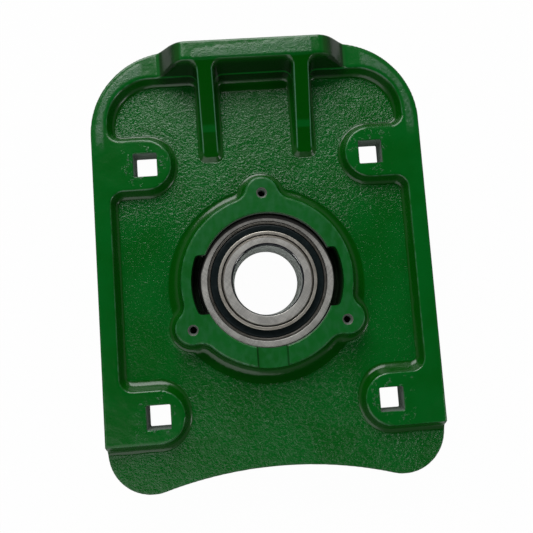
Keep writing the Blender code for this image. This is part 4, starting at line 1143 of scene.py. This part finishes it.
# The studio: a white table behind the unit, a pale surround that is dark round the camera, a large soft
# lamp beyond the flange, a dimmer one beyond the foot, a small one to the right, and the camera.
TABLE_DROP = 0.018
TABLE_SIZE = 30.0
TABLE_GLOW = 0.98                # the rest of what the camera sees of the table is lit, and takes shadow
FOCAL_PIXELS = 541.5
IMAGE_PIXELS = 533
SENSOR = 36.0
CAP_PLACE = (0.05, -0.03)
CAP_EDGE = (0.42, 0.90)
CAP_LEVEL = 0.11
SIDE_EDGE = (0.70, 1.30)
SIDE_GAIN = 2.4
SKY_LEVEL = 1.15
WHITE_LEVEL = 20.0               # the strength at which the camera sees the surround as white
TURN_X, TURN_Y, TURN_Z = -0.08208, 0.03855, 0.06977
SHIFT = np.array([0.0645, -9.787, -342.08]) * MM


def table():
    """White table top that the camera sees as plain white, with a faint shadow of the unit on it."""
    level = HOUSING_LOW.z - TABLE_DROP
    half = TABLE_SIZE / 2
    top = new_object("table_top", [(-half, -half, level), (half, -half, level), (half, half, level),
                                   (-half, half, level)], [(0, 1, 2, 3)])
    white = Finish("white_table", Base_Color=(0.8, 0.8, 0.8, 1.0), Roughness=0.9)
    tree = white.tree
    path = white.node("ShaderNodeLightPath", {}, {})
    seen = Field(tree, path.outputs["Is Camera Ray"]).most(Field(tree, path.outputs["Is Transmission Ray"]))
    glow = white.node("ShaderNodeEmission", {}, {"Color": (1, 1, 1, 1), "Strength": 1.0})
    mix = white.node("ShaderNodeMixShader", {}, {"Fac": TABLE_GLOW * seen})
    tree.links.new(white.shader.outputs[0], mix.inputs[1])
    tree.links.new(glow.outputs[0], mix.inputs[2])
    tree.links.new(mix.outputs[0], tree.nodes["Material Output"].inputs["Surface"])
    top.data.materials.append(white.material)


def surround():
    """Pale surround: dark in a cap about the camera, brighter towards the horizon, and white where the
    camera sees it. The cap is a disc in the plane of (x / z, y / z)."""
    world = bpy.data.worlds.new("studio_surround")
    world.use_nodes = True
    bpy.context.scene.world = world
    tree = world.node_tree
    place = tree.nodes.new("ShaderNodeTexCoord")
    parts = tree.nodes.new("ShaderNodeSeparateXYZ")
    tree.links.new(place.outputs["Generated"], parts.inputs[0])
    x, y, z = (Field(tree, parts.outputs[axis]) for axis in "XYZ")
    ahead = z.most(0.05)
    across, along = x / ahead - CAP_PLACE[0], y / ahead - CAP_PLACE[1]
    reach = (across * across + along * along).root()
    outside = reach.step(*CAP_EDGE) * (1 + SIDE_GAIN * reach.step(*SIDE_EDGE))
    level = CAP_LEVEL + SKY_LEVEL * outside
    path = tree.nodes.new("ShaderNodeLightPath")
    seen = Field(tree, path.outputs["Is Camera Ray"])
    level = level * (1 - seen) + WHITE_LEVEL * seen
    tree.links.new(level.socket, tree.nodes["Background"].inputs["Strength"])


def soft_lamp(name, place, size, power):
    """Square soft lamp that faces the bearing."""
    light = bpy.data.lights.new(name, "AREA")
    light.size = size
    light.energy = power
    lamp = bpy.data.objects.new(name, light)
    lamp.location = place
    away = np.array(place) / np.linalg.norm(place)
    lamp.rotation_euler = (0, math.acos(away[2]), math.atan2(away[1], away[0]))
    bpy.context.scene.collection.objects.link(lamp)


def photograph_camera():
    """Camera fitted to the photograph: turned by the angle-axis vector (TURN_X, TURN_Y, TURN_Z), it sees
    the bearing's centre line shifted by SHIFT."""
    axis = np.array([TURN_X, TURN_Y, TURN_Z])
    angle = np.linalg.norm(axis)
    a, b, c = axis / angle
    cross = np.array([[0, -c, b], [c, 0, -a], [-b, a, 0]])
    turn = np.eye(3) + math.sin(angle) * cross + (1 - math.cos(angle)) * cross @ cross
    data = bpy.data.cameras.new("photograph")
    data.sensor_width = SENSOR
    data.lens = SENSOR * FOCAL_PIXELS / IMAGE_PIXELS
    data.clip_start = 0.01
    camera = bpy.data.objects.new("photograph", data)
    matrix = np.eye(4)
    matrix[:3, :3] = turn.T
    matrix[:3, 3] = -turn.T @ SHIFT
    bpy.context.scene.collection.objects.link(camera)
    camera.matrix_world = matrix.T.tolist()
    bpy.context.scene.camera = camera


table()
surround()
soft_lamp("flange_lamp", (-0.18, 1.15, 0.80), 1.0, 16.0)
soft_lamp("foot_lamp", (-0.50, -0.80, 0.85), 1.1, 4.2)
soft_lamp("side_lamp", (0.80, -0.45, 0.75), 0.3, 1.2)
photograph_camera()
bpy.context.scene.view_settings.view_transform = "Standard"
